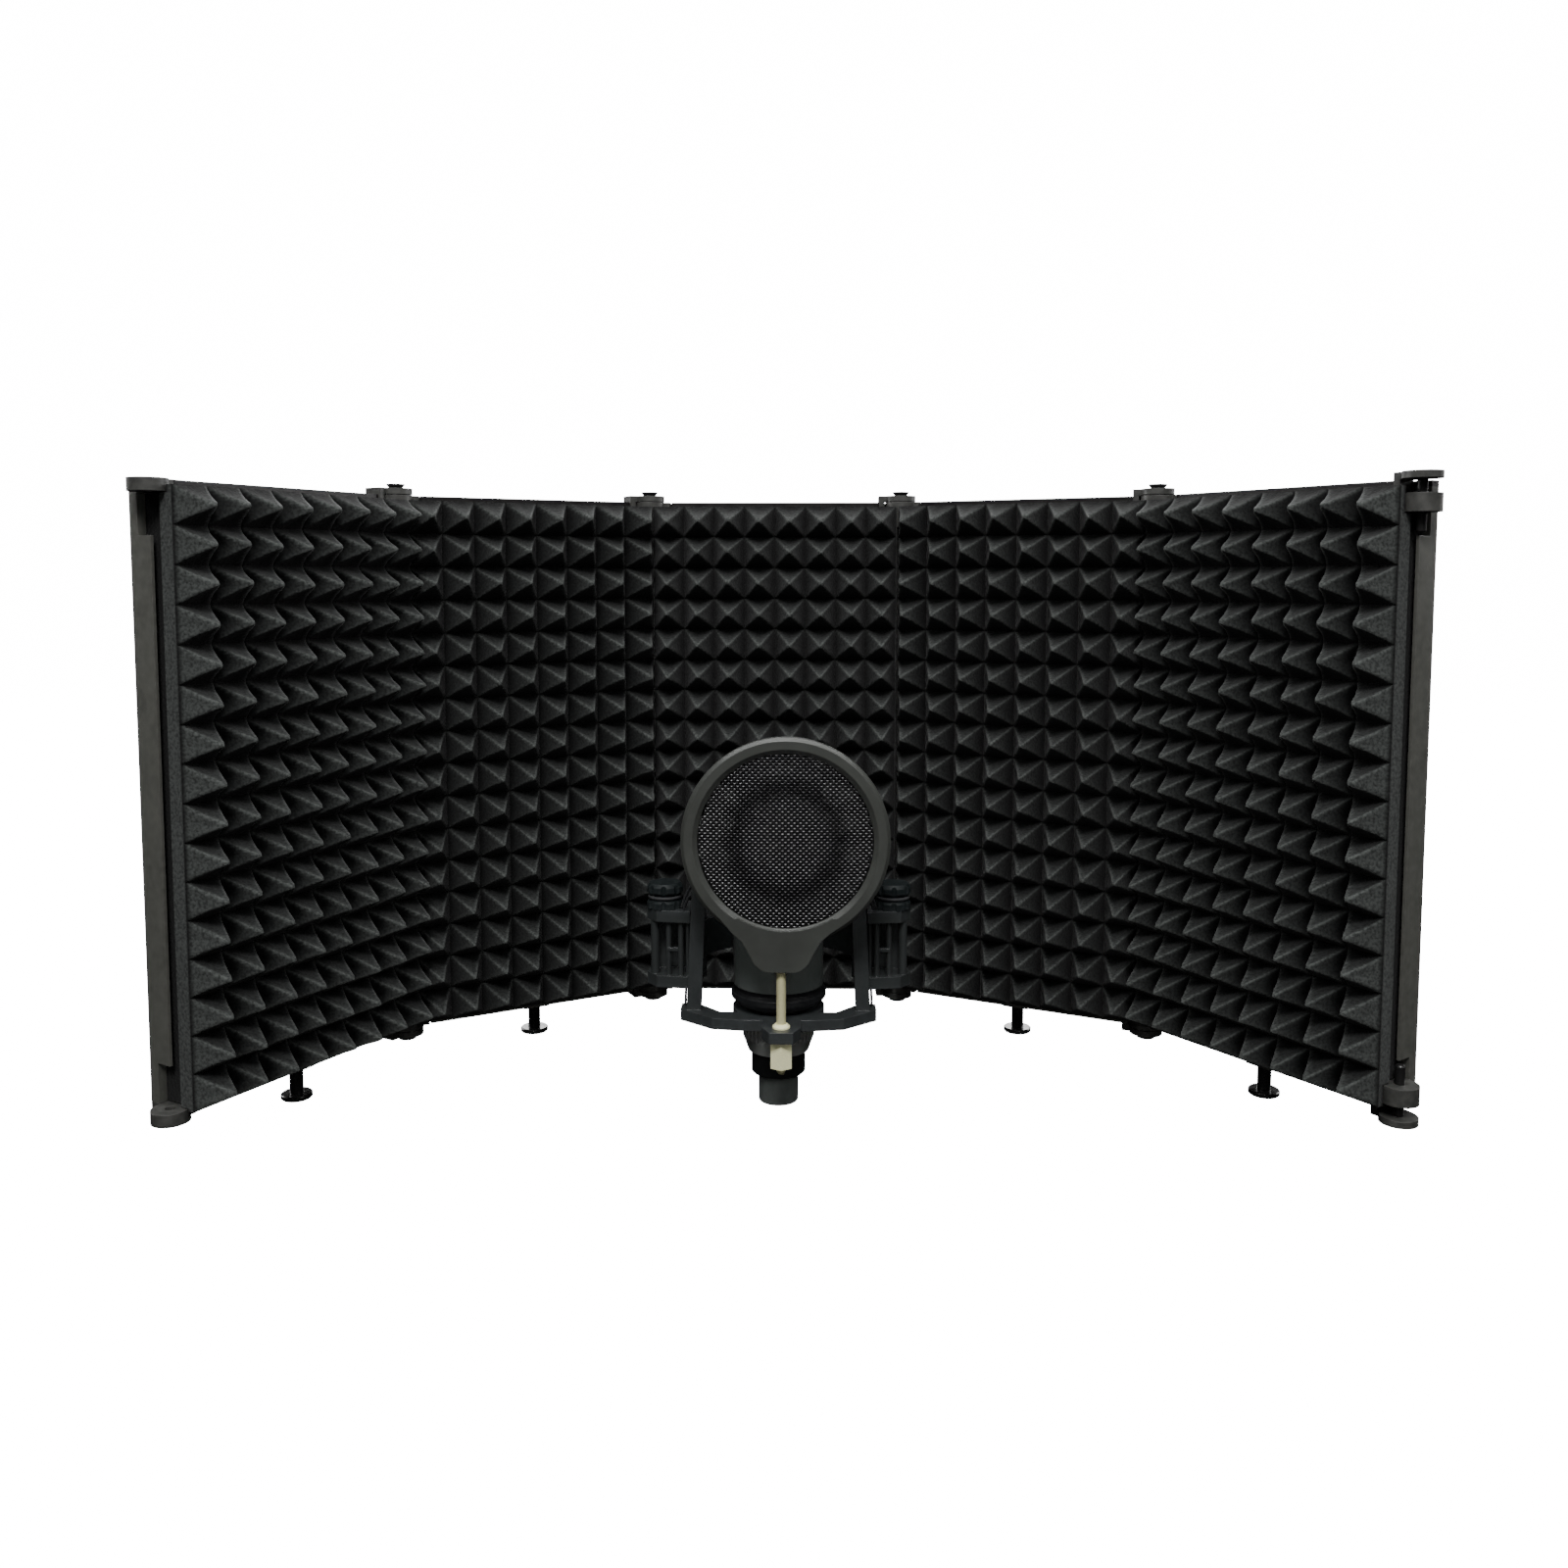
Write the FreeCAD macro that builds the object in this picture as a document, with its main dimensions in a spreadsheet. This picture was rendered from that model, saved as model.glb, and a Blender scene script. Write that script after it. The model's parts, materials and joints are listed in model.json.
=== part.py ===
"""Folding microphone isolation shield: five foam-faced panels, a shock-mounted microphone and a pop filter.

Row frame, millimetres: +X to the right and +Y away from somebody who speaks into the microphone, +Z up.
The origin is the mouth of the stand thread under the bracket, on its axis.
"""
import FreeCAD, Part
import math
import os
import re

import Sketcher

V = FreeCAD.Vector
X_AXIS = V(1, 0, 0)
Y_AXIS = V(0, 1, 0)
Z_AXIS = V(0, 0, 1)

# ------------------------------------------------------------------ driving dimensions

SIZES = {
    # Panels, each in a frame of its own: x runs from its left hinge axis to its right one,
    # y backwards from the hinge plane, z up from the panel's bottom edge.
    "panel_width": 161.8,
    "panel_height": 320.0,
    "end_gap": 0.8,
    "shell_front": 9.9,
    "shell_thickness": 6.2,
    "window_side": 16.0,
    "window_bottom": 26.0,
    "window_top": 20.0,
    "rebate_width": 4.0,
    "plate_thickness": 2.5,
    "plate_hole_radius": 4.0,
    "plate_hole_pitch": 16.0,
    "rail_thickness": 1.6,
    "rail_setback": 0.3,
    "rail_inset": 27.5,
    "flange_thickness": 3.0,
    "flange_front": 0.5,
    "boss_width": 16.0,
    "boss_front": 2.0,
    "boss_height": 12.0,
    # Acoustic foam
    "foam_inset": 4.2,
    "foam_valley": 14.0,
    "foam_tip": 35.0,
    "foam_tip_inset": 11.0,
    "foam_bottom": 5.9,
    "foam_top": 3.2,
    "foam_pocket_width": 14.4,
    "foam_pocket_depth": 10.2,
    "foam_pocket_height": 16.8,
    "clearance": 0.3,
    # Hinges
    "knuckle_radius": 9.5,
    "leaf_front": 2.0,
    "hinge_leaf": 13.0,
    "ear_thickness": 6.5,
    "fork_plate_gap": 0.4,
    "fork_plate": 3.6,
    "fork_block_top": 6.8,
    "fork_block": 9.2,
    "fork_web": 3.5,
    "hinge_pin_radius": 2.5,
    "hinge_hole_radius": 2.56,
    "hinge_pin_tail": 26.0,
    "pin_head_height": 2.6,
    "pin_head_radius": 5.2,
    "pin_head_foot_radius": 3.5,
    # Feet
    "foot_drop": 16.5,
    "foot_setback": 3.5,
    "foot_rod_radius": 3.75,
    "foot_disc_radius": 8.5,
    "foot_disc": 2.9,
    "foot_stub_radius": 2.6,
    "foot_stub": 9.5,
    # Where the panels stand
    "panel_base": 13.0,
    "hinge_plane": 45.0,
    "centre_shift": -4.2,
    "fold_inner_left": 29.4,
    "fold_outer_left": 31.7,
    "fold_inner_right": 25.8,
    "fold_outer_right": 29.0,
    # Bracket under the centre panel
    "bracket_width": 22.0,
    "bracket_thickness": 3.0,
    "bracket_front": 67.0,
    "bracket_leg": 26.0,
    "bracket_screw_spacing": 12.0,
    "bracket_screw_height": 13.0,
    "bracket_screw_radius": 2.0,
    "bracket_screw_length": 8.8,
    "screw_head_radius": 3.8,
    "screw_head": 2.3,
    "slot_half_width": 3.2,
    "slot_travel_front": 18.0,
    "slot_travel_back": 9.0,
    "bush_radius": 11.0,
    "stand_thread_radius": 7.43,
    # Post with its fork, and the tilt pivot
    "post_setback": -39.0,
    "post_radius": 6.0,
    "post_thread_radius": 3.0,
    "thumb_nut_radius": 9.8,
    "thumb_nut_height": 8.0,
    "thumb_nut_bore": 3.06,
    "pivot_height": 83.0,
    "fork_half_width": 9.0,
    "fork_radius": 8.0,
    "tongue_half_width": 4.0,
    "tilt_shank_radius": 3.0,
    "tilt_bore": 3.06,
    "tilt_knob_radius": 8.5,
    "tilt_knob_length": 11.0,
    # Shock mount
    "mic_setback": -107.0,
    "yoke_inner_radius": 46.5,
    "yoke_wall": 4.0,
    "yoke_bottom": 73.0,
    "yoke_height": 20.0,
    "spool_inner": 48.5,
    "spool_outer": 73.0,
    "spool_plate": 6.5,
    "spool_low": 60.0,
    "spool_high": 96.5,
    "spool_web": 3.0,
    "anchor_radius": 10.0,
    "anchor_height": 14.0,
    "cradle_bottom": 46.0,
    "cradle_thickness": 6.0,
    "cradle_ring_radius": 25.0,
    "cradle_half_width": 53.0,
    "cradle_bore": 15.05,
    "upright_top": 124.0,
    "upright_width": 7.8,
    "upright_depth": 7.0,
    "upright_foot": 45.7,
    "upright_setback": -3.2,
    "upright_head": 42.5,
    "hook_radius": 2.4,
    "hook_length": 4.5,
    "band_radius": 0.9,
    # Microphone
    "mic_radius": 24.5,
    "mic_wall": 2.0,
    "mic_flange_radius": 25.8,
    "mic_flange_bottom": 55.0,
    "mic_body_bottom": 65.0,
    "mic_body_top": 121.0,
    "mic_trim_height": 4.0,
    "mic_trim_radius": 25.0,
    "grille_radius": 23.8,
    "grille_wall": 1.2,
    "grille_top": 189.0,
    "grille_dome": 14.0,
    "mic_tail_radius": 14.75,
    "mic_tail_bottom": 15.0,
    "mic_seat_radius": 18.0,
    "ring_nut_radius": 19.5,
    "ring_nut_foot_radius": 16.6,
    "ring_nut_bottom": 28.0,
    "ring_nut_shoulder": 36.0,
    "ring_nut_top": 45.7,
    "ring_nut_bore": 14.82,
    "connector_radius": 10.9,
    "connector_bore": 9.6,
    "connector_bottom": -1.0,
    "connector_depth": 12.0,
    "contact_radius": 1.2,
    "contact_circle": 4.1,
    "capsule_radius": 17.0,
    "capsule_thickness": 7.0,
    "capsule_height": 160.0,
    # Pop filter
    "pop_shift": 1.8,
    "pop_lean": 2.2,
    "pop_setback": -145.0,
    "pop_height": 150.4,
    "pop_radius": 53.8,
    "pop_mesh_radius": 45.2,
    "pop_depth": 11.0,
    "pop_back_depth": 4.5,
    "pop_lip": 2.4,
    "pop_mesh": 0.9,
    "paddle_bottom": 67.8,
    "paddle_thickness": 8.0,
    "stud_radius": 2.5,
    "stud_hole_radius": 2.56,
    "stud_bottom": 27.6,
    "stud_flare_radius": 4.0,
    "hex_across_flats": 11.0,
    "hex_bottom": 31.2,
    "lug_half_width": 10.2,
    "lug_reach": 8.5,
    "clamp_washer_radius": 4.6,
    "clamp_washer": 2.2,
}

doc = FreeCAD.newDocument("isolation_shield")
sheet = doc.addObject("Spreadsheet::Sheet", "Sizes")
for row, (alias, value) in enumerate(SIZES.items(), start=1):
    sheet.set(f"A{row}", alias)
    sheet.set(f"B{row}", str(value))
    sheet.setAlias(f"B{row}", alias)
doc.recompute()


def formula(text):
    """An expression on the sheet, from a sum written with the names of sizes."""
    return re.sub(r"[a-z_]+", lambda word: "Sizes." + word[0] if word[0] in SIZES else word[0], str(text))


def value(text):
    """The number that such a sum comes to, for a placement or a sketch's first shape."""
    total = 0.0
    for sign, term in re.findall(r"([+-]?)\s*([a-z0-9_.*/ ]+)", str(text)):
        product = 1.0
        for operator, factor in re.findall(r"([*/]?)\s*([a-z0-9_.]+)", term):
            number = SIZES[factor] if factor in SIZES else float(factor)
            product = product / number if operator == "/" else product * number
        total += -product if sign == "-" else product
    return total


# ------------------------------------------------------------------ primitives bound to the sheet

def bind(obj, formulas):
    for prop, text in formulas.items():
        obj.setExpression(prop, formula(text))
    return obj


def bind_base(obj, at):
    return bind(obj, {f"Placement.Base.{axis}": text for axis, text in zip("xyz", at)})


def box(name, size, low):
    """A box from its size and its lowest corner."""
    solid = doc.addObject("Part::Box", name)
    bind(solid, dict(zip(("Length", "Width", "Height"), size)))
    return bind_base(solid, low)


def cylinder(name, radius, height, at, axis=Z_AXIS):
    """A cylinder that starts at a point and runs along an axis."""
    solid = doc.addObject("Part::Cylinder", name)
    solid.Placement = FreeCAD.Placement(V(0, 0, 0), FreeCAD.Rotation(Z_AXIS, axis))
    bind(solid, {"Radius": radius, "Height": height})
    return bind_base(solid, at)


def fuse(name, solids):
    union = doc.addObject("Part::MultiFuse", name)
    union.Shapes = solids
    union.Refine = True
    return union


def cut(name, base, tools):
    """The base less its tools."""
    result = doc.addObject("Part::Cut", name)
    result.Base = base
    result.Tool = tools[0] if len(tools) == 1 else fuse(name + "_tools", tools)
    return result


def group(name, solids):
    """Several separate solids as one sub-part."""
    compound = doc.addObject("Part::Compound", name)
    compound.Links = solids
    return compound


def mirrored(solid, normal, base_formulas):
    """The mirror image of a solid in a plane."""
    image = doc.addObject("Part::Mirroring", solid.Name + "_mirrored")
    image.Source = solid
    image.Normal = normal
    return bind(image, {f"Base.{axis}": text for axis, text in base_formulas.items()})


def top_and_bottom(name, top):
    """A piece at the top hinge and its mirror image at the bottom one."""
    return group(name, [top, mirrored(top, Z_AXIS, {"z": "panel_height / 2"})])


# ------------------------------------------------------------------ sketched bodies

def origin_plane(body, role):
    return next(feature for feature in body.Origin.OriginFeatures if feature.Role == role)


def new_sketch(body, name, role="XY_Plane"):
    sketch = body.newObject("Sketcher::SketchObject", name)
    sketch.AttachmentSupport = [(origin_plane(body, role), "")]
    sketch.MapMode = "FlatFace"
    return sketch


def add_outline(sketch, points):
    """A closed outline of straight lines, each corner held by two formulas."""
    corners = [V(value(across), value(along), 0) for across, along in points]
    first = sketch.GeometryCount
    for start, end in zip(corners, corners[1:] + corners[:1]):
        sketch.addGeometry(Part.LineSegment(start, end), False)
    count = len(points)
    for step, (across, along) in enumerate(points):
        line = first + step
        sketch.addConstraint(Sketcher.Constraint("Coincident", line, 2, first + (step + 1) % count, 1))
        for kind, text in (("DistanceX", across), ("DistanceY", along)):
            index = sketch.addConstraint(Sketcher.Constraint(kind, -1, 1, line, 1, value(text)))
            sketch.setExpression(f"Constraints[{index}]", formula(text))


def add_circle(sketch, across, along, radius):
    line = sketch.addGeometry(Part.Circle(V(value(across), value(along), 0), Z_AXIS, value(radius)), False)
    for kind, text in (("DistanceX", across), ("DistanceY", along)):
        index = sketch.addConstraint(Sketcher.Constraint(kind, -1, 1, line, 3, value(text)))
        sketch.setExpression(f"Constraints[{index}]", formula(text))
    index = sketch.addConstraint(Sketcher.Constraint("Radius", line, value(radius)))
    sketch.setExpression(f"Constraints[{index}]", formula(radius))


def turned(name, profile):
    """A body turned about its own Z axis from a profile of (radius, height) corners."""
    body = doc.addObject("PartDesign::Body", name)
    sketch = new_sketch(body, name + "_profile", "XZ_Plane")
    add_outline(sketch, profile)
    turn = body.newObject("PartDesign::Revolution", name + "_turn")
    turn.Profile = sketch
    turn.ReferenceAxis = (sketch, ["V_Axis"])
    turn.Angle = 360.0
    return body


def prism(name, outline, thickness, role="XY_Plane"):
    """A body padded from an outline on one of its origin planes."""
    body = doc.addObject("PartDesign::Body", name)
    sketch = new_sketch(body, name + "_outline", role)
    add_outline(sketch, outline)
    pad = body.newObject("PartDesign::Pad", name + "_pad")
    pad.Profile = sketch
    pad.setExpression("Length", formula(thickness))
    return body


def flute(body, count, radius, depth_radius, length):
    """Cut finger flutes all round a turned body that stands on its own XY plane."""
    sketch = new_sketch(body, body.Name + "_flute")
    add_circle(sketch, radius, "0", depth_radius)
    pocket = body.newObject("PartDesign::Pocket", body.Name + "_flute_cut")
    pocket.Profile = sketch
    pocket.Reversed = True
    pocket.setExpression("Length", formula(length))
    pattern = body.newObject("PartDesign::PolarPattern", body.Name + "_flutes")
    pattern.Originals = [pocket]
    pattern.Axis = (sketch, ["N_Axis"])
    pattern.Angle = 360.0
    pattern.Occurrences = count
    body.Tip = pattern
    return body


def place(obj, x=0, y=0, z=0, rotation=None):
    """Put a finished sub-part at a place given by sums of sizes."""
    obj.Placement = FreeCAD.Placement(V(value(x), value(y), value(z)), rotation or FreeCAD.Rotation())
    return obj


# ------------------------------------------------------------------ the panels

PANEL_NAMES = ["far_left", "left", "centre", "right", "far_right"]


def panel_places():
    """Each panel's left hinge axis and its heading, from the fold angles."""
    width = SIZES["panel_width"]
    left_edge = SIZES["centre_shift"] - width / 2
    plane = SIZES["hinge_plane"]
    headings = {"centre": 0.0}
    headings["left"] = SIZES["fold_inner_left"]
    headings["far_left"] = headings["left"] + SIZES["fold_outer_left"]
    headings["right"] = -SIZES["fold_inner_right"]
    headings["far_right"] = headings["right"] - SIZES["fold_outer_right"]

    def step(start, name, sign):
        angle = math.radians(headings[name])
        return start + sign * width * V(math.cos(angle), math.sin(angle), 0)

    starts = {"centre": V(left_edge, plane, SIZES["panel_base"])}
    starts["left"] = step(starts["centre"], "left", -1)
    starts["far_left"] = step(starts["left"], "far_left", -1)
    starts["right"] = step(starts["centre"], "centre", 1)
    starts["far_right"] = step(starts["right"], "right", 1)
    return {name: FreeCAD.Placement(starts[name], FreeCAD.Rotation(Z_AXIS, headings[name]))
            for name in PANEL_NAMES}


def end_boxes(name, size, low_y, low_z, inset):
    """The same box at the left and at the right end of a panel."""
    left = box(name + "_left", size, (inset, low_y, low_z))
    right = box(name + "_right", size, (f"panel_width - {inset} - {size[0]}", low_y, low_z))
    return [left, right]


def make_frame(panel):
    """Moulded frame: a flat rim with side rails, top and bottom flanges and a boss for a foot."""
    name = panel + "_frame"
    shell = box(name + "_shell", ("panel_width - 2 * end_gap", "shell_thickness", "panel_height"),
                ("end_gap", "shell_front", "0"))
    rail_size = ("rail_thickness", "shell_front - rail_setback + 1", "panel_height - 2 * rail_inset")
    rails = end_boxes(name + "_rail", rail_size, "rail_setback", "rail_inset", "end_gap")
    flange_size = ("panel_width - 2 * foam_pocket_width", "shell_front + flange_front + 1", "flange_thickness")
    flanges = [box(name + "_flange_low", flange_size[:2] + ("foam_bottom - clearance",),
                   ("foam_pocket_width", "-flange_front", "0")),
               box(name + "_flange_high", flange_size,
                   ("foam_pocket_width", "-flange_front", "panel_height - flange_thickness"))]
    boss = box(name + "_boss", ("boss_width", "shell_front + boss_front + 1", "boss_height"),
               ("panel_width / 2 - boss_width / 2", "-boss_front", "0"))
    window = box(name + "_window",
                 ("panel_width - 2 * window_side", "3 * shell_thickness",
                  "panel_height - window_bottom - window_top"),
                 ("window_side", "0", "window_bottom"))
    rebate = box(name + "_rebate",
                 ("panel_width - 2 * window_side + 2 * rebate_width", "plate_thickness",
                  "panel_height - window_bottom - window_top + 2 * rebate_width"),
                 ("window_side - rebate_width", "shell_front", "window_bottom - rebate_width"))
    foot_hole = cylinder(name + "_foot_hole", "foot_stub_radius", "foot_stub + 1",
                         ("panel_width / 2", "foot_setback", "-1"))
    notch_size = ("hinge_leaf", "shell_thickness + 1", "ear_thickness + 1")
    notches = [box(name + "_notch_low", notch_size, ("0", "shell_front", "-1")),
               box(name + "_notch_high", notch_size, ("0", "shell_front", "panel_height - ear_thickness"))]
    tools = [window, rebate, foot_hole] + notches
    if panel == "centre":
        tools += [cylinder(f"{name}_screw_hole_{end}", "bracket_screw_radius", "bracket_screw_length",
                           (f"panel_width / 2 - centre_shift {sign} bracket_screw_spacing / 2", "shell_front - 1",
                            "bracket_screw_height"), Y_AXIS) for end, sign in (("left", "-"), ("right", "+"))]
    return cut(name, fuse(name + "_moulding", [shell, boss] + rails + flanges), tools)


def make_back_plate(panel):
    """Perforated plate in the frame's rebate."""
    name = panel + "_back_plate"
    body = doc.addObject("PartDesign::Body", name)
    sketch = new_sketch(body, name + "_outline", "XZ_Plane")
    left, right = "window_side - rebate_width", "panel_width - window_side + rebate_width"
    low, high = "window_bottom - rebate_width", "panel_height - window_top + rebate_width"
    add_outline(sketch, [(left, low), (right, low), (right, high), (left, high)])
    pad = body.newObject("PartDesign::Pad", name + "_pad")
    pad.Profile = sketch
    pad.setExpression("Length", formula("plate_thickness"))
    doc.recompute()
    solid_volume = body.Shape.Volume
    holes = new_sketch(body, name + "_holes", "XZ_Plane")
    columns = 7
    rows = 16
    for column in range(columns):
        add_circle(holes, f"panel_width / 2 + {column - columns // 2} * plate_hole_pitch".replace("+ -", "- "),
                   "window_bottom + plate_hole_pitch", "plate_hole_radius")
    pocket = body.newObject("PartDesign::Pocket", name + "_row")
    pocket.Profile = holes
    pocket.Reversed = True
    pocket.Type = 1
    pattern = body.newObject("PartDesign::LinearPattern", name + "_rows")
    pattern.Originals = [pocket]
    pattern.Direction = (holes, ["V_Axis"])
    pattern.setExpression("Length", formula(f"{rows - 1} * plate_hole_pitch"))
    pattern.Occurrences = rows
    body.Tip = pattern
    doc.recompute()
    if body.Shape.Volume > 0.95 * solid_volume:
        raise RuntimeError(name + ": its holes cut nothing")
    return body


def make_foam(panel):
    """Envelope of a convoluted foam tile: a slab, then a block that narrows towards the tips."""
    name = panel + "_foam"
    height = "panel_height - foam_bottom - foam_top"
    slab = box(name + "_slab", ("panel_width - 2 * foam_inset", "shell_front + foam_valley", height),
               ("foam_inset", "-foam_valley", "foam_bottom"))
    tips = doc.addObject("Part::Wedge", name + "_tips")
    bind(tips, {"Xmin": "0", "Xmax": "panel_width - 2 * foam_inset", "Zmin": "0", "Zmax": height,
                "Ymin": "0", "Ymax": "foam_tip - foam_valley",
                "X2min": "foam_tip_inset - foam_inset", "X2max": "panel_width - foam_inset - foam_tip_inset",
                "Z2min": "foam_tip_inset - foam_inset",
                "Z2max": height + " - foam_tip_inset + foam_inset"})
    tips.Placement = FreeCAD.Placement(V(0, 0, 0), FreeCAD.Rotation(X_AXIS, 180))
    bind_base(tips, ("foam_inset", "-foam_valley", "panel_height - foam_top"))
    pockets = []
    pocket_size = ("foam_pocket_width", "foam_pocket_depth + shell_front + 1", "foam_pocket_height")
    for low_z in ("0", "panel_height - foam_pocket_height"):
        end = "low" if low_z == "0" else "high"
        pockets += end_boxes(f"{name}_pocket_{end}", pocket_size, "-foam_pocket_depth", low_z, "0")
    foot_pocket = box(name + "_foot_pocket",
                      ("boss_width + 2 * clearance", "shell_front + boss_front + 1", "boss_height + clearance"),
                      ("panel_width / 2 - boss_width / 2 - clearance", "-boss_front - clearance", "0"))
    return cut(name, fuse(name + "_tile", [slab, tips]), pockets + [foot_pocket])


def make_ears(panel):
    """Single hinge knuckles at the left end, top and bottom."""
    name = panel + "_hinge_ears"
    low = "panel_height - ear_thickness"
    knuckle = cylinder(name + "_knuckle", "knuckle_radius", "ear_thickness", ("0", "0", low))
    leaf = box(name + "_leaf", ("hinge_leaf - end_gap", "leaf_front + shell_front + shell_thickness",
                                "ear_thickness"), ("end_gap", "-leaf_front", low))
    hole = cylinder(name + "_hole", "hinge_hole_radius", "ear_thickness + 2", ("0", "0", low + " - 1"))
    return top_and_bottom(name, cut(name + "_top", fuse(name + "_blank", [knuckle, leaf]), [hole]))


def make_forks(panel):
    """Forked hinge knuckles at the right end, top and bottom, that hold the pins."""
    name = panel + "_hinge_forks"
    plate_low = "panel_height + fork_plate_gap"
    block_low = "panel_height - fork_block_top - fork_block"
    plate = cylinder(name + "_plate", "knuckle_radius", "fork_plate", ("panel_width", "0", plate_low))
    plate_leaf = box(name + "_plate_leaf", ("hinge_leaf + 1", "leaf_front + shell_front", "fork_plate"),
                     ("panel_width - hinge_leaf - 1", "-leaf_front", plate_low))
    block = cylinder(name + "_block", "knuckle_radius", "fork_block", ("panel_width", "0", block_low))
    block_leaf = box(name + "_block_leaf", ("hinge_leaf + 1", "leaf_front + shell_front", "fork_block"),
                     ("panel_width - hinge_leaf - 1", "-leaf_front", block_low))
    web = box(name + "_web", ("fork_web", "leaf_front + shell_front",
                              "fork_plate_gap + fork_plate + fork_block_top + fork_block"),
              ("panel_width - hinge_leaf - 1", "-leaf_front", block_low))
    hole = cylinder(name + "_hole", "hinge_hole_radius", "40", ("panel_width", "0", "panel_height - 30"))
    solid = cut(name + "_top", fuse(name + "_blank", [plate, plate_leaf, block, block_leaf, web]), [hole])
    return top_and_bottom(name, solid)


def make_hinge_pins(panel):
    """Pins through the forks, top and bottom; the free end's are plain and flush with the fork."""
    name = panel + "_hinge_pins"
    head = "panel_height + fork_plate_gap + fork_plate"
    profile = [
        ("0", "panel_height - hinge_pin_tail"),
        ("hinge_pin_radius - 0.5", "panel_height - hinge_pin_tail"),
        ("hinge_pin_radius", "panel_height - hinge_pin_tail + 0.8"),
        ("hinge_pin_radius", head)]
    if panel == PANEL_NAMES[-1]:
        profile.append(("0", head))
    else:
        profile += [
            ("pin_head_foot_radius", head),
            ("pin_head_radius", head + " + pin_head_height - 0.6"),
            ("pin_head_radius", head + " + pin_head_height"),
            ("0", head + " + pin_head_height")]
    pin = turned(name + "_top", profile)
    bind_base(pin, ("panel_width", "0", "0"))
    return top_and_bottom(name, pin)


def make_foot(panel):
    """Screw-in foot: a stub, a rod and a disc."""
    name = panel + "_foot"
    disc_top = "foot_disc - foot_drop"
    return turned(name, [
        ("0", "-foot_drop"),
        ("foot_disc_radius - 0.6", "-foot_drop"),
        ("foot_disc_radius", "0.6 - foot_drop"),
        ("foot_disc_radius", disc_top + " - 0.5"),
        ("foot_disc_radius - 0.5", disc_top),
        ("foot_rod_radius", disc_top),
        ("foot_rod_radius", "0"),
        ("foot_stub_radius", "0"),
        ("foot_stub_radius", "foot_stub"),
        ("0", "foot_stub")])


def make_panels():
    """Every piece of the five panels, each placed with its panel."""
    parts = []
    for panel, placement in panel_places().items():
        pieces = [make(panel) for make in (make_frame, make_foam, make_ears, make_forks, make_hinge_pins)]
        for piece in pieces:
            piece.Placement = placement
        plate = make_back_plate(panel)
        # The plate is padded towards the front of its own plane, so it stands that much further back.
        offset = V(0, SIZES["shell_front"] + SIZES["plate_thickness"], 0)
        plate.Placement = placement.multiply(FreeCAD.Placement(offset, FreeCAD.Rotation()))
        pieces.append(plate)
        if panel != "centre":
            foot = make_foot(panel)
            offset = V(SIZES["panel_width"] / 2, SIZES["foot_setback"], 0)
            foot.Placement = placement.multiply(FreeCAD.Placement(offset, FreeCAD.Rotation()))
            pieces.append(foot)
        parts += pieces
    return parts


# ------------------------------------------------------------------ bracket, post and pivot

def make_bracket():
    """Flat steel under the centre panel, turned up behind it, with a slot for the post."""
    back = "hinge_plane + shell_front + shell_thickness"
    bottom = "panel_base - bracket_thickness"
    bar = box("bracket_bar", ("bracket_width", back + " + bracket_front + bracket_thickness", "bracket_thickness"),
              ("-bracket_width / 2", "-bracket_front", bottom))
    leg = box("bracket_upright", ("bracket_width", "bracket_thickness", "bracket_leg + bracket_thickness"),
              ("-bracket_width / 2", back, bottom))
    slot = box("bracket_slot", ("2 * slot_half_width", "slot_travel_front + slot_travel_back", "20"),
               ("-slot_half_width", "post_setback - slot_travel_front", "0"))
    ends = [cylinder(f"bracket_slot_{end}", "slot_half_width", "20", ("0", at, "0"))
            for end, at in (("front", "post_setback - slot_travel_front"),
                            ("back", "post_setback + slot_travel_back"))]
    holes = [cylinder(f"bracket_hole_{end}", "bracket_screw_radius", "10",
                      (f"{sign}bracket_screw_spacing / 2", back + " - 5", "panel_base + bracket_screw_height"), Y_AXIS)
             for end, sign in (("left", "-"), ("right", ""))]
    return cut("bracket", fuse("bracket_steel", [bar, leg]), [slot] + ends + holes)


def make_bracket_screws():
    """Two screws through the bracket's upright leg into the centre frame."""
    screws = []
    for end, sign in (("left", "-"), ("right", "")):
        screw = turned(f"bracket_screw_{end}", [
            ("0", "0"), ("screw_head_radius - 0.5", "0"), ("screw_head_radius", "0.6"),
            ("screw_head_radius", "screw_head"), ("bracket_screw_radius", "screw_head"),
            ("bracket_screw_radius", "screw_head + bracket_screw_length"),
            ("0", "screw_head + bracket_screw_length")])
        place(screw, f"{sign}bracket_screw_spacing / 2",
              "hinge_plane + shell_front + shell_thickness + bracket_thickness + screw_head",
              "panel_base + bracket_screw_height", FreeCAD.Rotation(X_AXIS, 90))
        screws.append(screw)
    return group("bracket_screws", screws)


def make_stand_bush():
    """Threaded bush for a microphone stand, modelled at the thread's inner radius."""
    top = "panel_base - bracket_thickness"
    return turned("stand_bush", [
        ("stand_thread_radius", "0"), ("bush_radius - 1", "0"), ("bush_radius", "1"),
        ("bush_radius", top), ("stand_thread_radius", top)])


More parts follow.
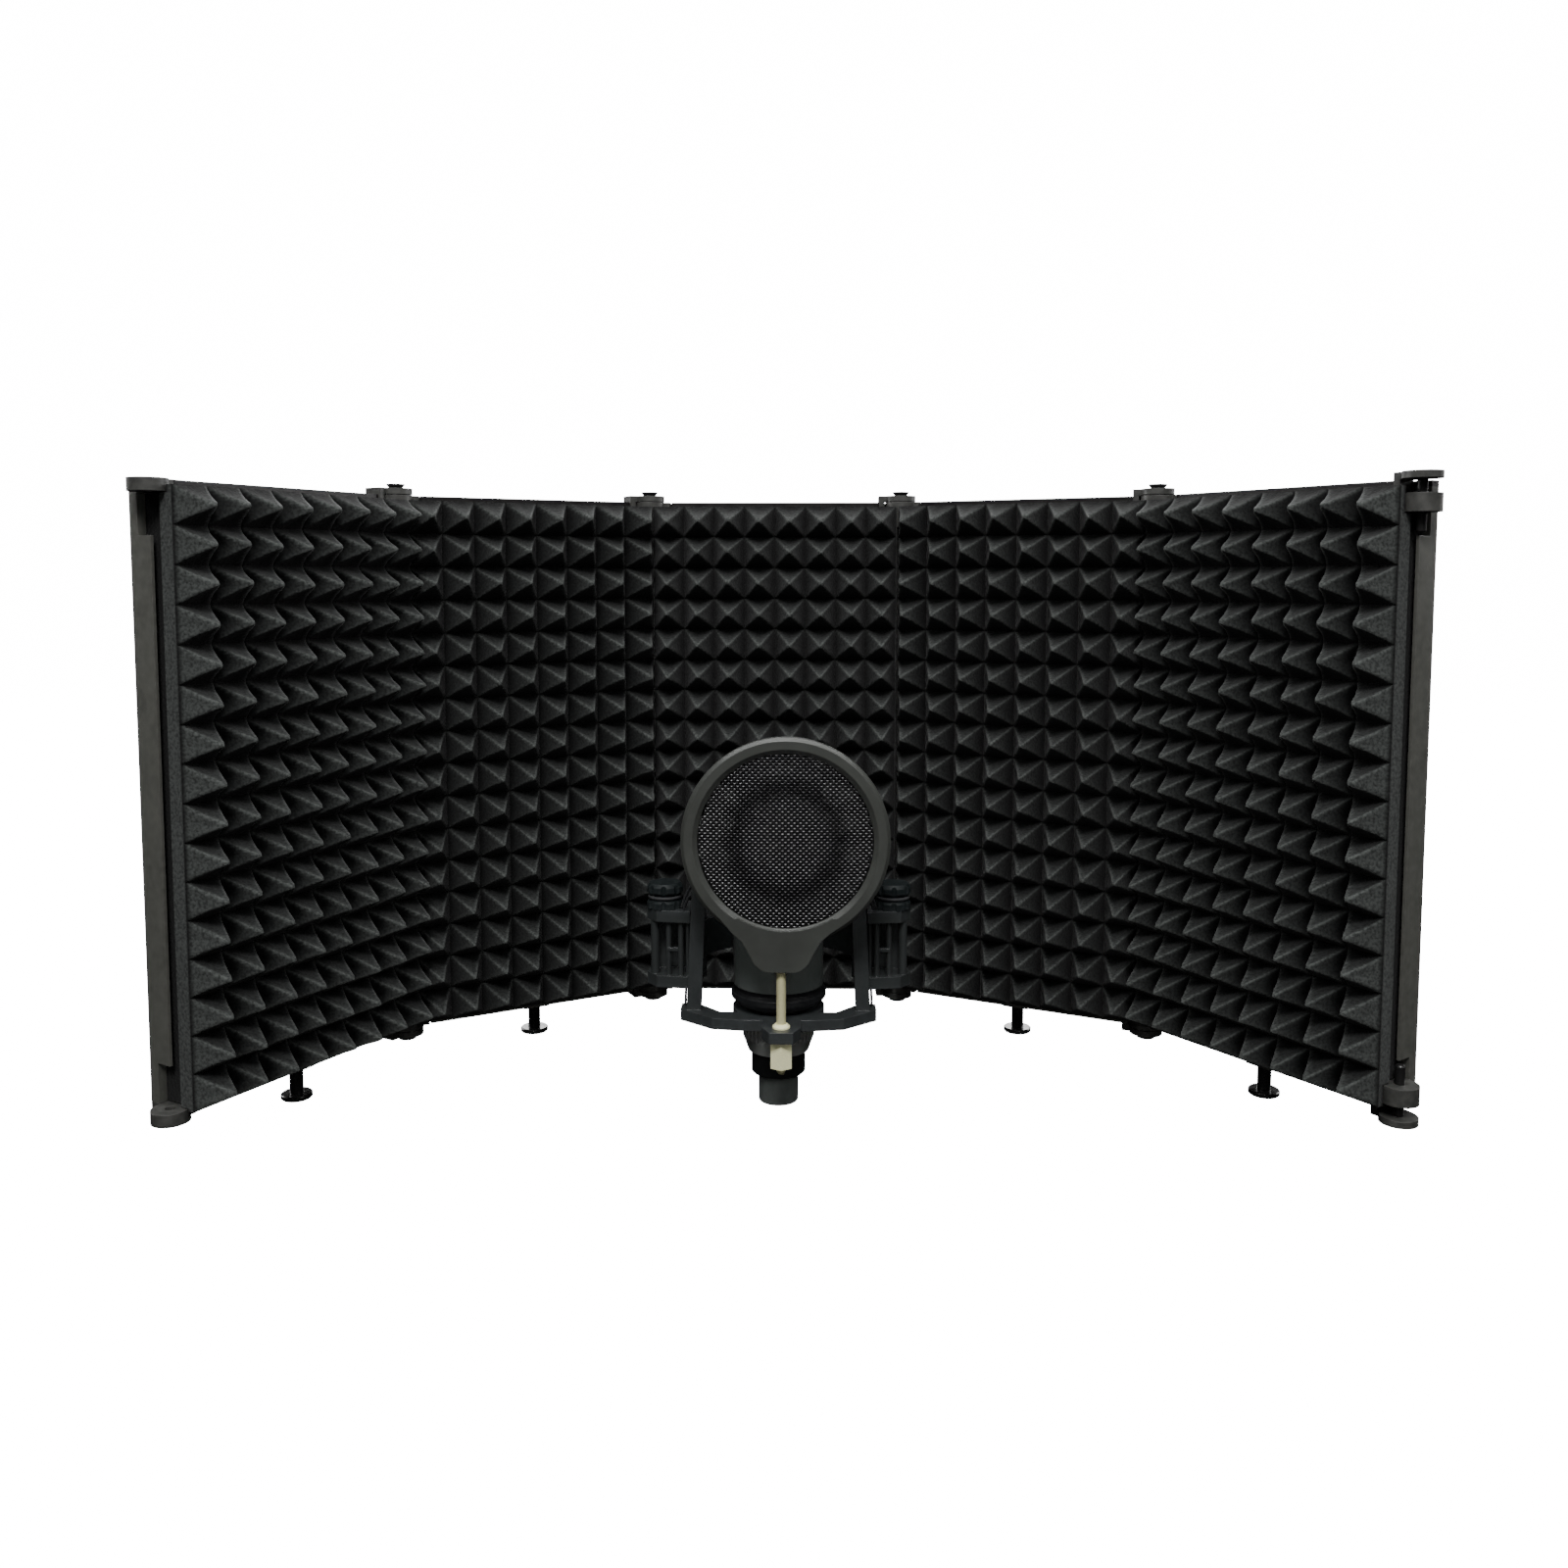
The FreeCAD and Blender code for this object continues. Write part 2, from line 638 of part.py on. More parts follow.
def make_post():
    """Round post that stands on the bracket, with a fork for the shock mount on top."""
    shoulder = "panel_base + 0.05"
    stem = turned("post_stem", [
        ("0", "0.5"), ("post_thread_radius - 0.5", "0.5"), ("post_thread_radius", "1"),
        ("post_thread_radius", shoulder), ("post_radius + 3", shoulder), ("post_radius + 3", "panel_base + 2"),
        ("post_radius", "panel_base + 4"), ("post_radius", "pivot_height - fork_radius"),
        ("0", "pivot_height - fork_radius")])
    bind_base(stem, ("0", "post_setback", "0"))
    neck_low = "pivot_height - fork_radius - 5"
    neck = box("post_neck", ("2 * fork_half_width", "2 * fork_radius", "fork_radius + 5"),
               ("-fork_half_width", "post_setback - fork_radius", neck_low))
    head = cylinder("post_head", "fork_radius", "2 * fork_half_width",
                    ("-fork_half_width", "post_setback", "pivot_height"), X_AXIS)
    gap = box("post_gap", ("2 * tongue_half_width + 0.4", "40", "40"),
              ("-tongue_half_width - 0.2", "post_setback - 20", "pivot_height - fork_radius - 1.5"))
    hole = cylinder("post_hole", "tilt_bore", "40", ("-20", "post_setback", "pivot_height"), X_AXIS)
    return cut("post", fuse("post_blank", [stem, neck, head]), [gap, hole])


def make_thumb_nut():
    """Fluted nut under the bracket that clamps the post in its slot."""
    nut = turned("post_thumb_nut", [
        ("thumb_nut_bore", "0"), ("thumb_nut_radius - 1", "0"), ("thumb_nut_radius", "1"),
        ("thumb_nut_radius", "thumb_nut_height - 1"), ("thumb_nut_radius - 3", "thumb_nut_height"),
        ("thumb_nut_bore", "thumb_nut_height")])
    flute(nut, 12, "thumb_nut_radius + 1", "1.8", "thumb_nut_height")
    return place(nut, 0, "post_setback", "panel_base - bracket_thickness - thumb_nut_height - 0.1")


def make_tilt_knob():
    """Pivot screw across the fork, with a fluted knob on its right end."""
    knob = turned("tilt_knob", [
        ("0", "0"), ("tilt_knob_radius - 1", "0"), ("tilt_knob_radius", "1"),
        ("tilt_knob_radius", "tilt_knob_length - 1"), ("tilt_knob_radius - 2", "tilt_knob_length"),
        ("tilt_shank_radius", "tilt_knob_length"),
        ("tilt_shank_radius", "tilt_knob_length + 2 * fork_half_width + 2"),
        ("0", "tilt_knob_length + 2 * fork_half_width + 2")])
    flute(knob, 12, "tilt_knob_radius + 1", "1.8", "tilt_knob_length")
    return place(knob, "fork_half_width + 0.1 + tilt_knob_length", "post_setback", "pivot_height",
                 FreeCAD.Rotation(Y_AXIS, -90))


# ------------------------------------------------------------------ shock mount

def spool_outline(side):
    """Plan of a band carrier, on the right for side 1 and on the left for side -1."""
    sign = "" if side > 0 else "-"
    corners = [("spool_inner", "mic_setback + 1"), ("spool_outer - 6", "mic_setback + 4"),
               ("spool_outer", "mic_setback + 12"), ("spool_outer - 1", "mic_setback + 22"),
               ("spool_inner", "mic_setback + 27")]
    return [(sign + across.replace(" - ", " + " if side < 0 else " - "), along) for across, along in corners]


def make_spool(side):
    """Band carrier at one end of the yoke: two plates joined by rods and a web."""
    label = "right" if side > 0 else "left"
    sign = "" if side > 0 else "-"
    plates = []
    for level in ("low", "high"):
        plate = prism(f"yoke_{label}_{level}_plate", spool_outline(side), "spool_plate")
        bind_base(plate, ("0", "0", "spool_" + level))
        plates.append(plate)
    gap = "spool_high - spool_low"
    rods = [cylinder(f"yoke_{label}_rod_{number}", radius, gap,
                     (f"{sign}{across}", f"mic_setback + {back}", "spool_low + 1"))
            for number, (radius, across, back) in enumerate(
                (("2.4", "68.4", "10"), ("1.5", "60.6", "6.5"), ("1.5", "53.8", "5"), ("1", "50", "4.5")))]
    clip = box(f"yoke_{label}_clip", ("8", "2.4", "2"),
               (f"{sign}57.2 - 4", "mic_setback + 4.6", "spool_low + 20"))
    web_outline = [("spool_inner - 7.5", "mic_setback + 24"), ("spool_outer - 3", "mic_setback + 19"),
                   ("spool_outer - 3", "mic_setback + 22"), ("spool_inner - 7.5", "mic_setback + 27")]
    web_points = [(sign + across.replace(" - ", " + " if side < 0 else " - "), along)
                  for across, along in web_outline]
    web = prism(f"yoke_{label}_web", web_points, gap + " + spool_plate")
    bind_base(web, ("0", "0", "spool_low"))
    return plates + rods + [clip, web]


def make_yoke():
    """Outer half ring that carries both spools and pivots on the post."""
    ring = cut("yoke_ring", cylinder("yoke_ring_blank", "yoke_inner_radius + yoke_wall", "yoke_height",
                                     ("0", "mic_setback", "yoke_bottom")),
               [cylinder("yoke_ring_bore", "yoke_inner_radius", "2 * yoke_height",
                         ("0", "mic_setback", "yoke_bottom - 5")),
                box("yoke_ring_mouth", ("200", "130", "60"), ("-100", "mic_setback - 114", "yoke_bottom - 5"))])
    tongue = box("yoke_tongue", ("2 * tongue_half_width", "post_setback - mic_setback - yoke_inner_radius - 1",
                                 "2 * fork_radius - 1"),
                 ("-tongue_half_width", "mic_setback + yoke_inner_radius + 1", "pivot_height - fork_radius + 0.5"))
    tongue_end = cylinder("yoke_tongue_end", "fork_radius - 0.5", "2 * tongue_half_width",
                          ("-tongue_half_width", "post_setback", "pivot_height"), X_AXIS)
    hole = cylinder("yoke_hole", "tilt_bore", "40", ("-20", "post_setback", "pivot_height"), X_AXIS)
    return cut("yoke", fuse("yoke_blank", [ring, tongue, tongue_end] + make_spool(1) + make_spool(-1)), [hole])


def make_band_anchors():
    """Fluted caps on the spools that the elastic bands are wound round."""
    anchors = []
    for label, sign in (("left", "-"), ("right", "")):
        cap = turned(f"band_anchor_{label}", [
            ("0", "0"), ("anchor_radius", "0"), ("anchor_radius", "3.5"), ("anchor_radius - 1.6", "5"),
            ("anchor_radius - 1.6", "7.5"), ("anchor_radius", "9"), ("anchor_radius", "anchor_height - 2"),
            ("anchor_radius - 1.5", "anchor_height"), ("0", "anchor_height")])
        flute(cap, 8, "anchor_radius + 1", "2", "anchor_height")
        place(cap, f"{sign}63", "mic_setback + 13", "spool_high + spool_plate")
        anchors.append(cap)
    return group("band_anchors", anchors)


def make_bands():
    """Straight runs of elastic band between the spools and the cradle's uprights."""
    runs = []
    for label, side in (("left", -1), ("right", 1)):
        spans = (((53.2, 7, 104.1), (46.4, 0.4, 119.5)), ((51.5, 3, 104.1), (47.8, -1, 113)),
                 ((50.5, -0.6, 62), (50.6, -4.5, 53.4)))
        for number, (start, end) in enumerate(spans):
            low = V(side * start[0], SIZES["mic_setback"] + start[1], start[2])
            high = V(side * end[0], SIZES["mic_setback"] + end[1], end[2])
            run = doc.addObject("Part::Cylinder", f"band_{label}_{number}")
            run.setExpression("Radius", formula("band_radius"))
            run.Height = (high - low).Length
            run.Placement = FreeCAD.Placement(low, FreeCAD.Rotation(Z_AXIS, high - low))
            runs.append(run)
    return group("elastic_bands", runs)


def make_cradle():
    """Inner cradle: a seat ring on a cranked bar, two uprights and a lug for the pop filter."""
    ring = cylinder("cradle_ring", "cradle_ring_radius", "cradle_thickness", ("0", "mic_setback", "cradle_bottom"))
    bar = prism("cradle_bar", [
        ("cradle_half_width", "mic_setback - 9"), ("35", "mic_setback - 24"), ("18", "mic_setback - 26.5"),
        ("-18", "mic_setback - 26.5"), ("-35", "mic_setback - 24"), ("-cradle_half_width", "mic_setback - 9"),
        ("-cradle_half_width", "mic_setback + 1"), ("-44", "mic_setback + 1"), ("-31", "mic_setback - 13"),
        ("31", "mic_setback - 13"), ("44", "mic_setback + 1"), ("cradle_half_width", "mic_setback + 1")],
        "cradle_thickness")
    bind_base(bar, ("0", "0", "cradle_bottom"))
    lug = box("cradle_lug", ("2 * lug_half_width", "mic_setback - pop_setback - 20", "cradle_thickness"),
              ("pop_shift - lug_half_width", "pop_setback", "cradle_bottom"))
    lug_nose = prism("cradle_lug_nose", [
        ("pop_shift - lug_half_width", "pop_setback"), ("pop_shift - lug_half_width + 4", "pop_setback - lug_reach"),
        ("pop_shift + lug_half_width - 4", "pop_setback - lug_reach"), ("pop_shift + lug_half_width", "pop_setback")],
        "cradle_thickness")
    bind_base(lug_nose, ("0", "0", "cradle_bottom"))
    uprights = []
    for label, sign, other in (("left", "-", "+"), ("right", "", "-")):
        outward = sign or "+"
        foot_level = "cradle_bottom + 1.4 + upright_width / 2"
        across = {where: f"{sign}upright_{where}" for where in ("foot", "head")}
        outer = {where: f"{at} {outward} upright_width / 2" for where, at in across.items()}
        inner = {where: f"{at} {other} upright_width / 2" for where, at in across.items()}
        upright = prism(f"cradle_upright_{label}", [
            (inner["foot"], foot_level), (outer["foot"], foot_level), (outer["head"], "upright_top - 1.5"),
            (across["head"], "upright_top"), (inner["head"], "upright_top - 1.5")],
            "upright_depth", "XZ_Plane")
        bind_base(upright, ("0", "mic_setback + upright_setback", "0"))
        toe = cylinder(f"cradle_toe_{label}", "upright_width / 2", "upright_depth",
                       (across["foot"], "mic_setback + upright_setback - upright_depth", foot_level), Y_AXIS)
        hook = cylinder(f"cradle_hook_{label}", "hook_radius", "hook_length",
                        (across["head"], "mic_setback + upright_setback - 0.5", "upright_top - 6"), Y_AXIS)
        uprights += [upright, toe, hook]
    bore = cylinder("cradle_bore", "cradle_bore", "20", ("0", "mic_setback", "cradle_bottom - 5"))
    stud_hole = cylinder("cradle_stud_hole", "stud_hole_radius", "20",
                         ("pop_shift", "pop_setback", "cradle_bottom - 5"))
    return cut("cradle", fuse("cradle_moulding", [ring, bar, lug, lug_nose] + uprights), [bore, stud_hole])


# ------------------------------------------------------------------ microphone

def make_mic_base():
    """Bottom flange with the threaded tail that the ring nut clamps."""
    base = turned("mic_base", [
        ("0", "mic_tail_bottom"), ("mic_tail_radius - 1", "mic_tail_bottom"),
        ("mic_tail_radius", "mic_tail_bottom + 1"), ("mic_tail_radius", "cradle_bottom + cradle_thickness"),
        ("mic_seat_radius", "cradle_bottom + cradle_thickness"), ("mic_seat_radius", "mic_flange_bottom"),
        ("mic_flange_radius - 2.5", "mic_flange_bottom"), ("mic_flange_radius", "mic_flange_bottom + 3"),
        ("mic_flange_radius", "mic_flange_bottom + 6"), ("mic_radius - 0.8", "mic_flange_bottom + 7.5"),
        ("mic_radius - 0.8", "mic_body_bottom"), ("0", "mic_body_bottom")])
    return place(base, 0, "mic_setback")


def make_mic_body():
    """Tube of the microphone, with the trim ring that the head grille sits in."""
    inner = "mic_radius - mic_wall"
    body = turned("mic_body", [
        (inner, "mic_body_bottom"), ("mic_radius", "mic_body_bottom"),
        ("mic_radius", "mic_body_top - mic_trim_height"), ("mic_trim_radius", "mic_body_top - mic_trim_height"),
        ("mic_trim_radius", "mic_body_top"), (inner, "mic_body_top")])
    return place(body, 0, "mic_setback")


def make_mic_grille():
    """Head grille: a thin wall that narrows to a low dome."""
    inner = "grille_radius - grille_wall"
    grille = turned("mic_grille", [
        (inner, "mic_body_top"), ("grille_radius", "mic_body_top"),
        ("grille_radius", "grille_top - grille_dome"), ("grille_radius - 2.5", "grille_top - 0.5 * grille_dome"),
        ("grille_radius - 9", "grille_top - 0.12 * grille_dome"), ("0", "grille_top"),
        ("0", "grille_top - grille_wall"), ("grille_radius - 9.6", "grille_top - 0.2 * grille_dome - 0.2"),
        ("grille_radius - 3.8", "grille_top - 0.56 * grille_dome"), (inner, "grille_top - grille_dome")])
    return place(grille, 0, "mic_setback")


def make_mic_capsule():
    """Large diaphragm capsule, facing the speaker, on its saddle."""
    capsule = cylinder("capsule_disc", "capsule_radius", "capsule_thickness",
                       ("0", "mic_setback - capsule_thickness / 2", "capsule_height"), Y_AXIS)
    saddle = box("capsule_saddle", ("10", "6", "capsule_height - mic_body_top - 5"),
                 ("-5", "mic_setback - 3", "mic_body_top - 3"))
    disc = box("capsule_bridge", ("40", "10", "3"), ("-20", "mic_setback - 5", "mic_body_top - 4"))
    return fuse("mic_capsule", [capsule, saddle, disc])


def make_mic_board():
    """Circuit board that stands inside the body."""
    return box("mic_board", ("36", "1.6", "48"), ("-18", "mic_setback - 0.8", "mic_body_bottom + 1"))


def make_connector_shell():
    """Barrel of the three-pole connector, open at its bottom."""
    shell = turned("connector_shell", [
        ("connector_bore", "connector_bottom"), ("connector_radius - 0.4", "connector_bottom"),
        ("connector_radius", "connector_bottom + 0.6"), ("connector_radius", "mic_tail_bottom"),
        ("connector_bore", "mic_tail_bottom")])
    return place(shell, 0, "mic_setback")


def make_connector_insert():
    """Insulator that holds the contacts at the top of the barrel."""
    insert = turned("connector_insert", [
        ("0", "connector_bottom + connector_depth"), ("connector_bore", "connector_bottom + connector_depth"),
        ("connector_bore", "mic_tail_bottom"), ("0", "mic_tail_bottom")])
    return place(insert, 0, "mic_setback")


def make_connector_contacts():
    """Three contact pins under the insulator."""
    contacts = []
    for number in range(3):
        angle = math.radians(30 + 120 * number)
        across = SIZES["contact_circle"] * math.cos(angle)
        along = SIZES["mic_setback"] + SIZES["contact_circle"] * math.sin(angle)
        contact = doc.addObject("Part::Cylinder", f"contact_{number}")
        bind(contact, {"Radius": "contact_radius", "Height": "connector_depth - 2"})
        contact.Placement = FreeCAD.Placement(V(across, along, SIZES["connector_bottom"] + 2), FreeCAD.Rotation())
        contacts.append(contact)
    return group("connector_contacts", contacts)


def make_ring_nut():
    """Knurled ring nut that clamps the microphone's tail to the cradle."""
    height = "ring_nut_top - ring_nut_bottom"
    nut = turned("ring_nut", [
        ("ring_nut_bore", "0"), ("ring_nut_foot_radius", "0"),
        ("ring_nut_radius", "ring_nut_shoulder - ring_nut_bottom"), ("ring_nut_radius", height + " - 1"),
        ("ring_nut_radius - 1", height), ("ring_nut_bore", height)])
    flute(nut, 40, "ring_nut_radius + 0.35", "0.9", height)
    return place(nut, 0, "mic_setback", "ring_nut_bottom")


# ------------------------------------------------------------------ pop filter

FACING_FRONT = FreeCAD.Rotation(X_AXIS, 90)


def at_pop_ring(piece):
    """Turn a ring made about Z to face the speaker, with its back face at the filter's back."""
    return place(piece, "pop_shift + pop_lean", "pop_setback + pop_depth / 2", "pop_height", FACING_FRONT)


def make_pop_front_ring():
    """Front ring with the flared paddle that the stud screws into."""
    ring = turned("pop_front_hoop", [
        ("pop_mesh_radius", "pop_back_depth"), ("pop_radius - 0.8", "pop_back_depth"),
        ("pop_radius", "pop_back_depth + 1"), ("pop_radius", "pop_depth - 1.6"), ("pop_radius - 1.8", "pop_depth"),
        ("pop_mesh_radius + pop_lip", "pop_depth"), ("pop_mesh_radius", "pop_depth - 2.2")])
    shift = "-pop_lean"
    # Half widths and levels of the paddle's edge, from the ring down to its foot.
    edge = [("25", "-47.5"), ("20.5", "-51.4"), ("17.2", "-57"), ("14", "-63.3"),
            ("10.5", "1.2 - paddle_bottom"), ("7.5", "-paddle_bottom")]
    right_edge = [(f"{shift} + {half_width}", level) for half_width, level in edge]
    left_edge = [(f"{shift} - {half_width}", level) for half_width, level in reversed(edge)]
    paddle = prism("pop_paddle", [("34", "-39.4")] + right_edge + left_edge + [("-34", "-39.4")],
                   "paddle_thickness")
    bind_base(paddle, ("0", "0", "pop_depth - paddle_thickness"))
    core = cylinder("pop_paddle_core", "pop_mesh_radius + 1", "40", ("0", "0", "-10"))
    trimmed = cut("pop_paddle_trimmed", paddle, [core])
    behind = cylinder("pop_paddle_behind", "pop_radius + 0.1", "pop_back_depth + 10", ("0", "0", "-10"))
    front = cut("pop_paddle_front", trimmed, [behind])
    bore = cylinder("pop_paddle_bore", "stud_radius", "10", (shift, "-paddle_bottom - 1", "pop_depth / 2"), Y_AXIS)
    return at_pop_ring(cut("pop_front_ring", fuse("pop_front_blank", [ring, front]), [bore]))


def make_pop_back_ring():
    """Thin ring that closes the filter from behind."""
    ring = turned("pop_back_ring", [
        ("pop_mesh_radius", "0.6"), ("pop_mesh_radius + 1.5", "0"), ("pop_radius - 2.5", "0"),
        ("pop_radius - 0.8", "1.5"), ("pop_radius - 0.8", "pop_back_depth"), ("pop_mesh_radius", "pop_back_depth")])
    return at_pop_ring(ring)


def make_pop_mesh():
    """Front and back sheets of woven mesh, held inside the rings."""
    sheets = [cylinder(f"pop_mesh_{side}", "pop_mesh_radius", "pop_mesh", ("0", "0", low))
              for side, low in (("front", "pop_depth - 3.2"), ("back", "1.2"))]
    return at_pop_ring(group("pop_mesh", sheets))


def make_pop_stud():
    """Round stud from the paddle down through the cradle's lug."""
    paddle_low = "pop_height - paddle_bottom"
    stud = turned("pop_stud", [
        ("0", "stud_bottom"), ("stud_radius - 0.9", "stud_bottom"), ("stud_radius", "stud_bottom + 1.4"),
        ("stud_radius", paddle_low + " - 1.4"), ("stud_flare_radius", paddle_low + " - 0.9"),
        ("stud_flare_radius", paddle_low), ("stud_radius", paddle_low), ("stud_radius", paddle_low + " + 8"),
        ("0", paddle_low + " + 8")])
    return place(stud, "pop_shift", "pop_setback")


def make_pop_clamp():
    """Washer above the lug and hexagonal sleeve nut below it, on the stud."""
    washer = turned("pop_clamp_washer", [
        ("stud_hole_radius", "0.05"), ("clamp_washer_radius", "0.05"), ("clamp_washer_radius", "clamp_washer - 1.2"),
        ("clamp_washer_radius - 1.4", "clamp_washer"), ("stud_hole_radius", "clamp_washer")])
    place(washer, "pop_shift", "pop_setback", "cradle_bottom + cradle_thickness")
    corner = "hex_across_flats / 2"
    # The corners of a hexagon stand at the flat radius, and at half and the whole of it over cos 30.
    half_side = "0.288675 * hex_across_flats"
    point = "0.57735 * hex_across_flats"
    blank = prism("pop_clamp_hexagon", [
        (corner, "-" + half_side), (corner, half_side), ("0", point), ("-" + corner, half_side),
        ("-" + corner, "-" + half_side), ("0", "-" + point)], "cradle_bottom - hex_bottom - 0.05")
    bore = cylinder("pop_clamp_bore", "stud_hole_radius", "40", ("0", "0", "-5"))
    sleeve = cut("pop_clamp_sleeve", blank, [bore])
    place(sleeve, "pop_shift", "pop_setback", "hex_bottom")
    return group("pop_clamp_nuts", [washer, sleeve])


# ------------------------------------------------------------------ build, test and write

PARTS = make_panels() + [
    make_bracket(), make_bracket_screws(), make_stand_bush(), make_post(), make_thumb_nut(), make_tilt_knob(),
    make_yoke(), make_band_anchors(), make_bands(), make_cradle(), make_mic_base(), make_mic_body(),
    make_mic_grille(), make_mic_capsule(), make_mic_board(), make_connector_shell(), make_connector_insert(),
    make_connector_contacts(), make_ring_nut(), make_pop_front_ring(), make_pop_back_ring(), make_pop_mesh(),
    make_pop_stud(), make_pop_clamp()]
doc.recompute()

for obj in doc.Objects:
    if {"Invalid", "Error"} & set(obj.State):
        raise RuntimeError(f"{obj.Name} did not compute: {obj.State}")
for part in PARTS:
    part.Label = part.Name
    if part.Shape.isNull() or not part.Shape.isValid() or not part.Shape.Solids:
        raise RuntimeError(f"{part.Label} has no valid solid")

os.makedirs("parts", exist_ok=True)
for part in PARTS:
    part.Shape.exportStep(f"parts/{part.Label}.step")
    bounds = part.Shape.BoundBox
    print(f"{part.Label}: {len(part.Shape.Solids)} solid(s), {part.Shape.Volume / 1000:.1f} cm3, "
          f"z {bounds.ZMin:.1f} to {bounds.ZMax:.1f}")
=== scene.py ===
"""Looks of a folding microphone isolation shield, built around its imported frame.

Everything is in metres in the row frame: +X to the right and +Y away from the speaker, +Z up.
"""

import json
import math
import random
from types import SimpleNamespace

import bpy
from mathutils import Matrix, Vector, noise
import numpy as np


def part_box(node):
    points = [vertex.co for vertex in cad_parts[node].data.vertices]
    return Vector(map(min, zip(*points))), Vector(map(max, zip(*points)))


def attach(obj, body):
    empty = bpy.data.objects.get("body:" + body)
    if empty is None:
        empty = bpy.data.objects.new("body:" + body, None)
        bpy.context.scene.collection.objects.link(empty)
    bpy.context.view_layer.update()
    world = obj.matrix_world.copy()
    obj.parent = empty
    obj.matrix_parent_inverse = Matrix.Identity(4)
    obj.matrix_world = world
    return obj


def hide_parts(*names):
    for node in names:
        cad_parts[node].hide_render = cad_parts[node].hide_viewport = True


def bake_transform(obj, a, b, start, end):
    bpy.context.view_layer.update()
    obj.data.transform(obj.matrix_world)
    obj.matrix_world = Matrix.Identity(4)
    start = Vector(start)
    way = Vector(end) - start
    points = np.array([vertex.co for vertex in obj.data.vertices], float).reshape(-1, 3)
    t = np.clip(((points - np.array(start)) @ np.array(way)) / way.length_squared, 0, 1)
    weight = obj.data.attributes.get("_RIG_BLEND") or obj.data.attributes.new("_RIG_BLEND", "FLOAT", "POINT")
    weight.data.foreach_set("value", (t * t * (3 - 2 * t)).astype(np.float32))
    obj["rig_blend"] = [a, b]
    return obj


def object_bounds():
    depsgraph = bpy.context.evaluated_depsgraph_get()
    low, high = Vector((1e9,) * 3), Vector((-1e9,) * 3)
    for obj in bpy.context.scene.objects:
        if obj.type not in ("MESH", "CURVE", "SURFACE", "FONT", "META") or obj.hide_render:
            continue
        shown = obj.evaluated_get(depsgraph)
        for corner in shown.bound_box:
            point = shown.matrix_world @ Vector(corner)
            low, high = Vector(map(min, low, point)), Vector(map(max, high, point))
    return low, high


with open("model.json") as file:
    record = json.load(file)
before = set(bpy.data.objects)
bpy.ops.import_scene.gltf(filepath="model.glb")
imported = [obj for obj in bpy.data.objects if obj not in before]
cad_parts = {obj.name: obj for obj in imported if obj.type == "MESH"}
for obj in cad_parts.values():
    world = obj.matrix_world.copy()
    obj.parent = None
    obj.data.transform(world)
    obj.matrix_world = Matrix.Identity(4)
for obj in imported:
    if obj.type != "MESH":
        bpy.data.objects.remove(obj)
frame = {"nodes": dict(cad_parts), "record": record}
cad_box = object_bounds()

MM = 0.001
PANELS = ("far_left", "left", "centre", "right", "far_right")


def mm(x, y, z):
    """A point or a vector given in millimetres."""
    return Vector((x, y, z)) * MM


# ------------------------------------------------------------------ camera, floor and light

CAMERA_PLACE = mm(8.3, -820.6, 285.1)
CAMERA_PITCH = math.radians(4.57)    # down from level
CAMERA_YAW = math.radians(0.95)      # to the left
WHITE_GLOW = 16.0                    # makes the floor and the backdrop plain white
AMBIENT_LOW = 0.008
AMBIENT_HIGH = 0.08
FLOOR_HALF = 8.0

# Name, place, target, size, power and other options of each light.
LIGHTS = (
    ("key_light", (-0.05, -1.75, 1.95), (0.0, -0.1, 0.15), 0.6, 49.0, {}),
    ("left_light", (-1.6, -1.5, 1.6), (0.1, 0.0, 0.15), 0.6, 9.0, {}),
    ("right_light", (1.6, -1.5, 1.6), (-0.1, 0.0, 0.15), 0.6, 9.0, {}),
    ("low_fill", (0.0, -1.7, 0.10), (0.0, 0.0, 0.12), 0.8, 3.6, {"mirrored": False}),
    ("rim_strip", (0.0, -0.36, 1.35), (0.0, -0.36, 0.15), 0.12, 8.0, {"length": 2.4}),
    ("back_light", (0.0, 1.9, 1.3), (0.0, 0.0, 0.15), 1.4, 60.0, {}),
    ("left_back_light", (-2.2, 0.9, 1.1), (0.0, 0.0, 0.15), 1.0, 28.0, {}),
    ("right_back_light", (2.2, 0.9, 1.1), (0.0, 0.0, 0.15), 1.0, 28.0, {}),
)


def make_camera():
    """Camera a little above the shield's top edge, about 0.8 m in front of its middle."""
    data = bpy.data.cameras.new("camera")
    data.lens = 30.6
    data.sensor_width = 36.0
    data.shift_x = 0.0076
    data.shift_y = -0.0639
    camera = bpy.data.objects.new("camera", data)
    camera.location = CAMERA_PLACE
    camera.rotation_euler = (math.pi / 2 - CAMERA_PITCH, 0, CAMERA_YAW)
    bpy.context.scene.collection.objects.link(camera)
    bpy.context.scene.camera = camera


def area_light(name, place, target, size, power, length=None, mirrored=True):
    """Soft light that faces target: square, or a strip along X if it has a length."""
    data = bpy.data.lights.new(name, "AREA")
    data.shape = "RECTANGLE"
    data.size = length or size
    data.size_y = size
    data.energy = power
    light = bpy.data.objects.new(name, data)
    light.location = place
    light.rotation_euler = (Vector(target) - Vector(place)).to_track_quat("-Z", "Y").to_euler()
    light.visible_glossy = mirrored
    bpy.context.scene.collection.objects.link(light)


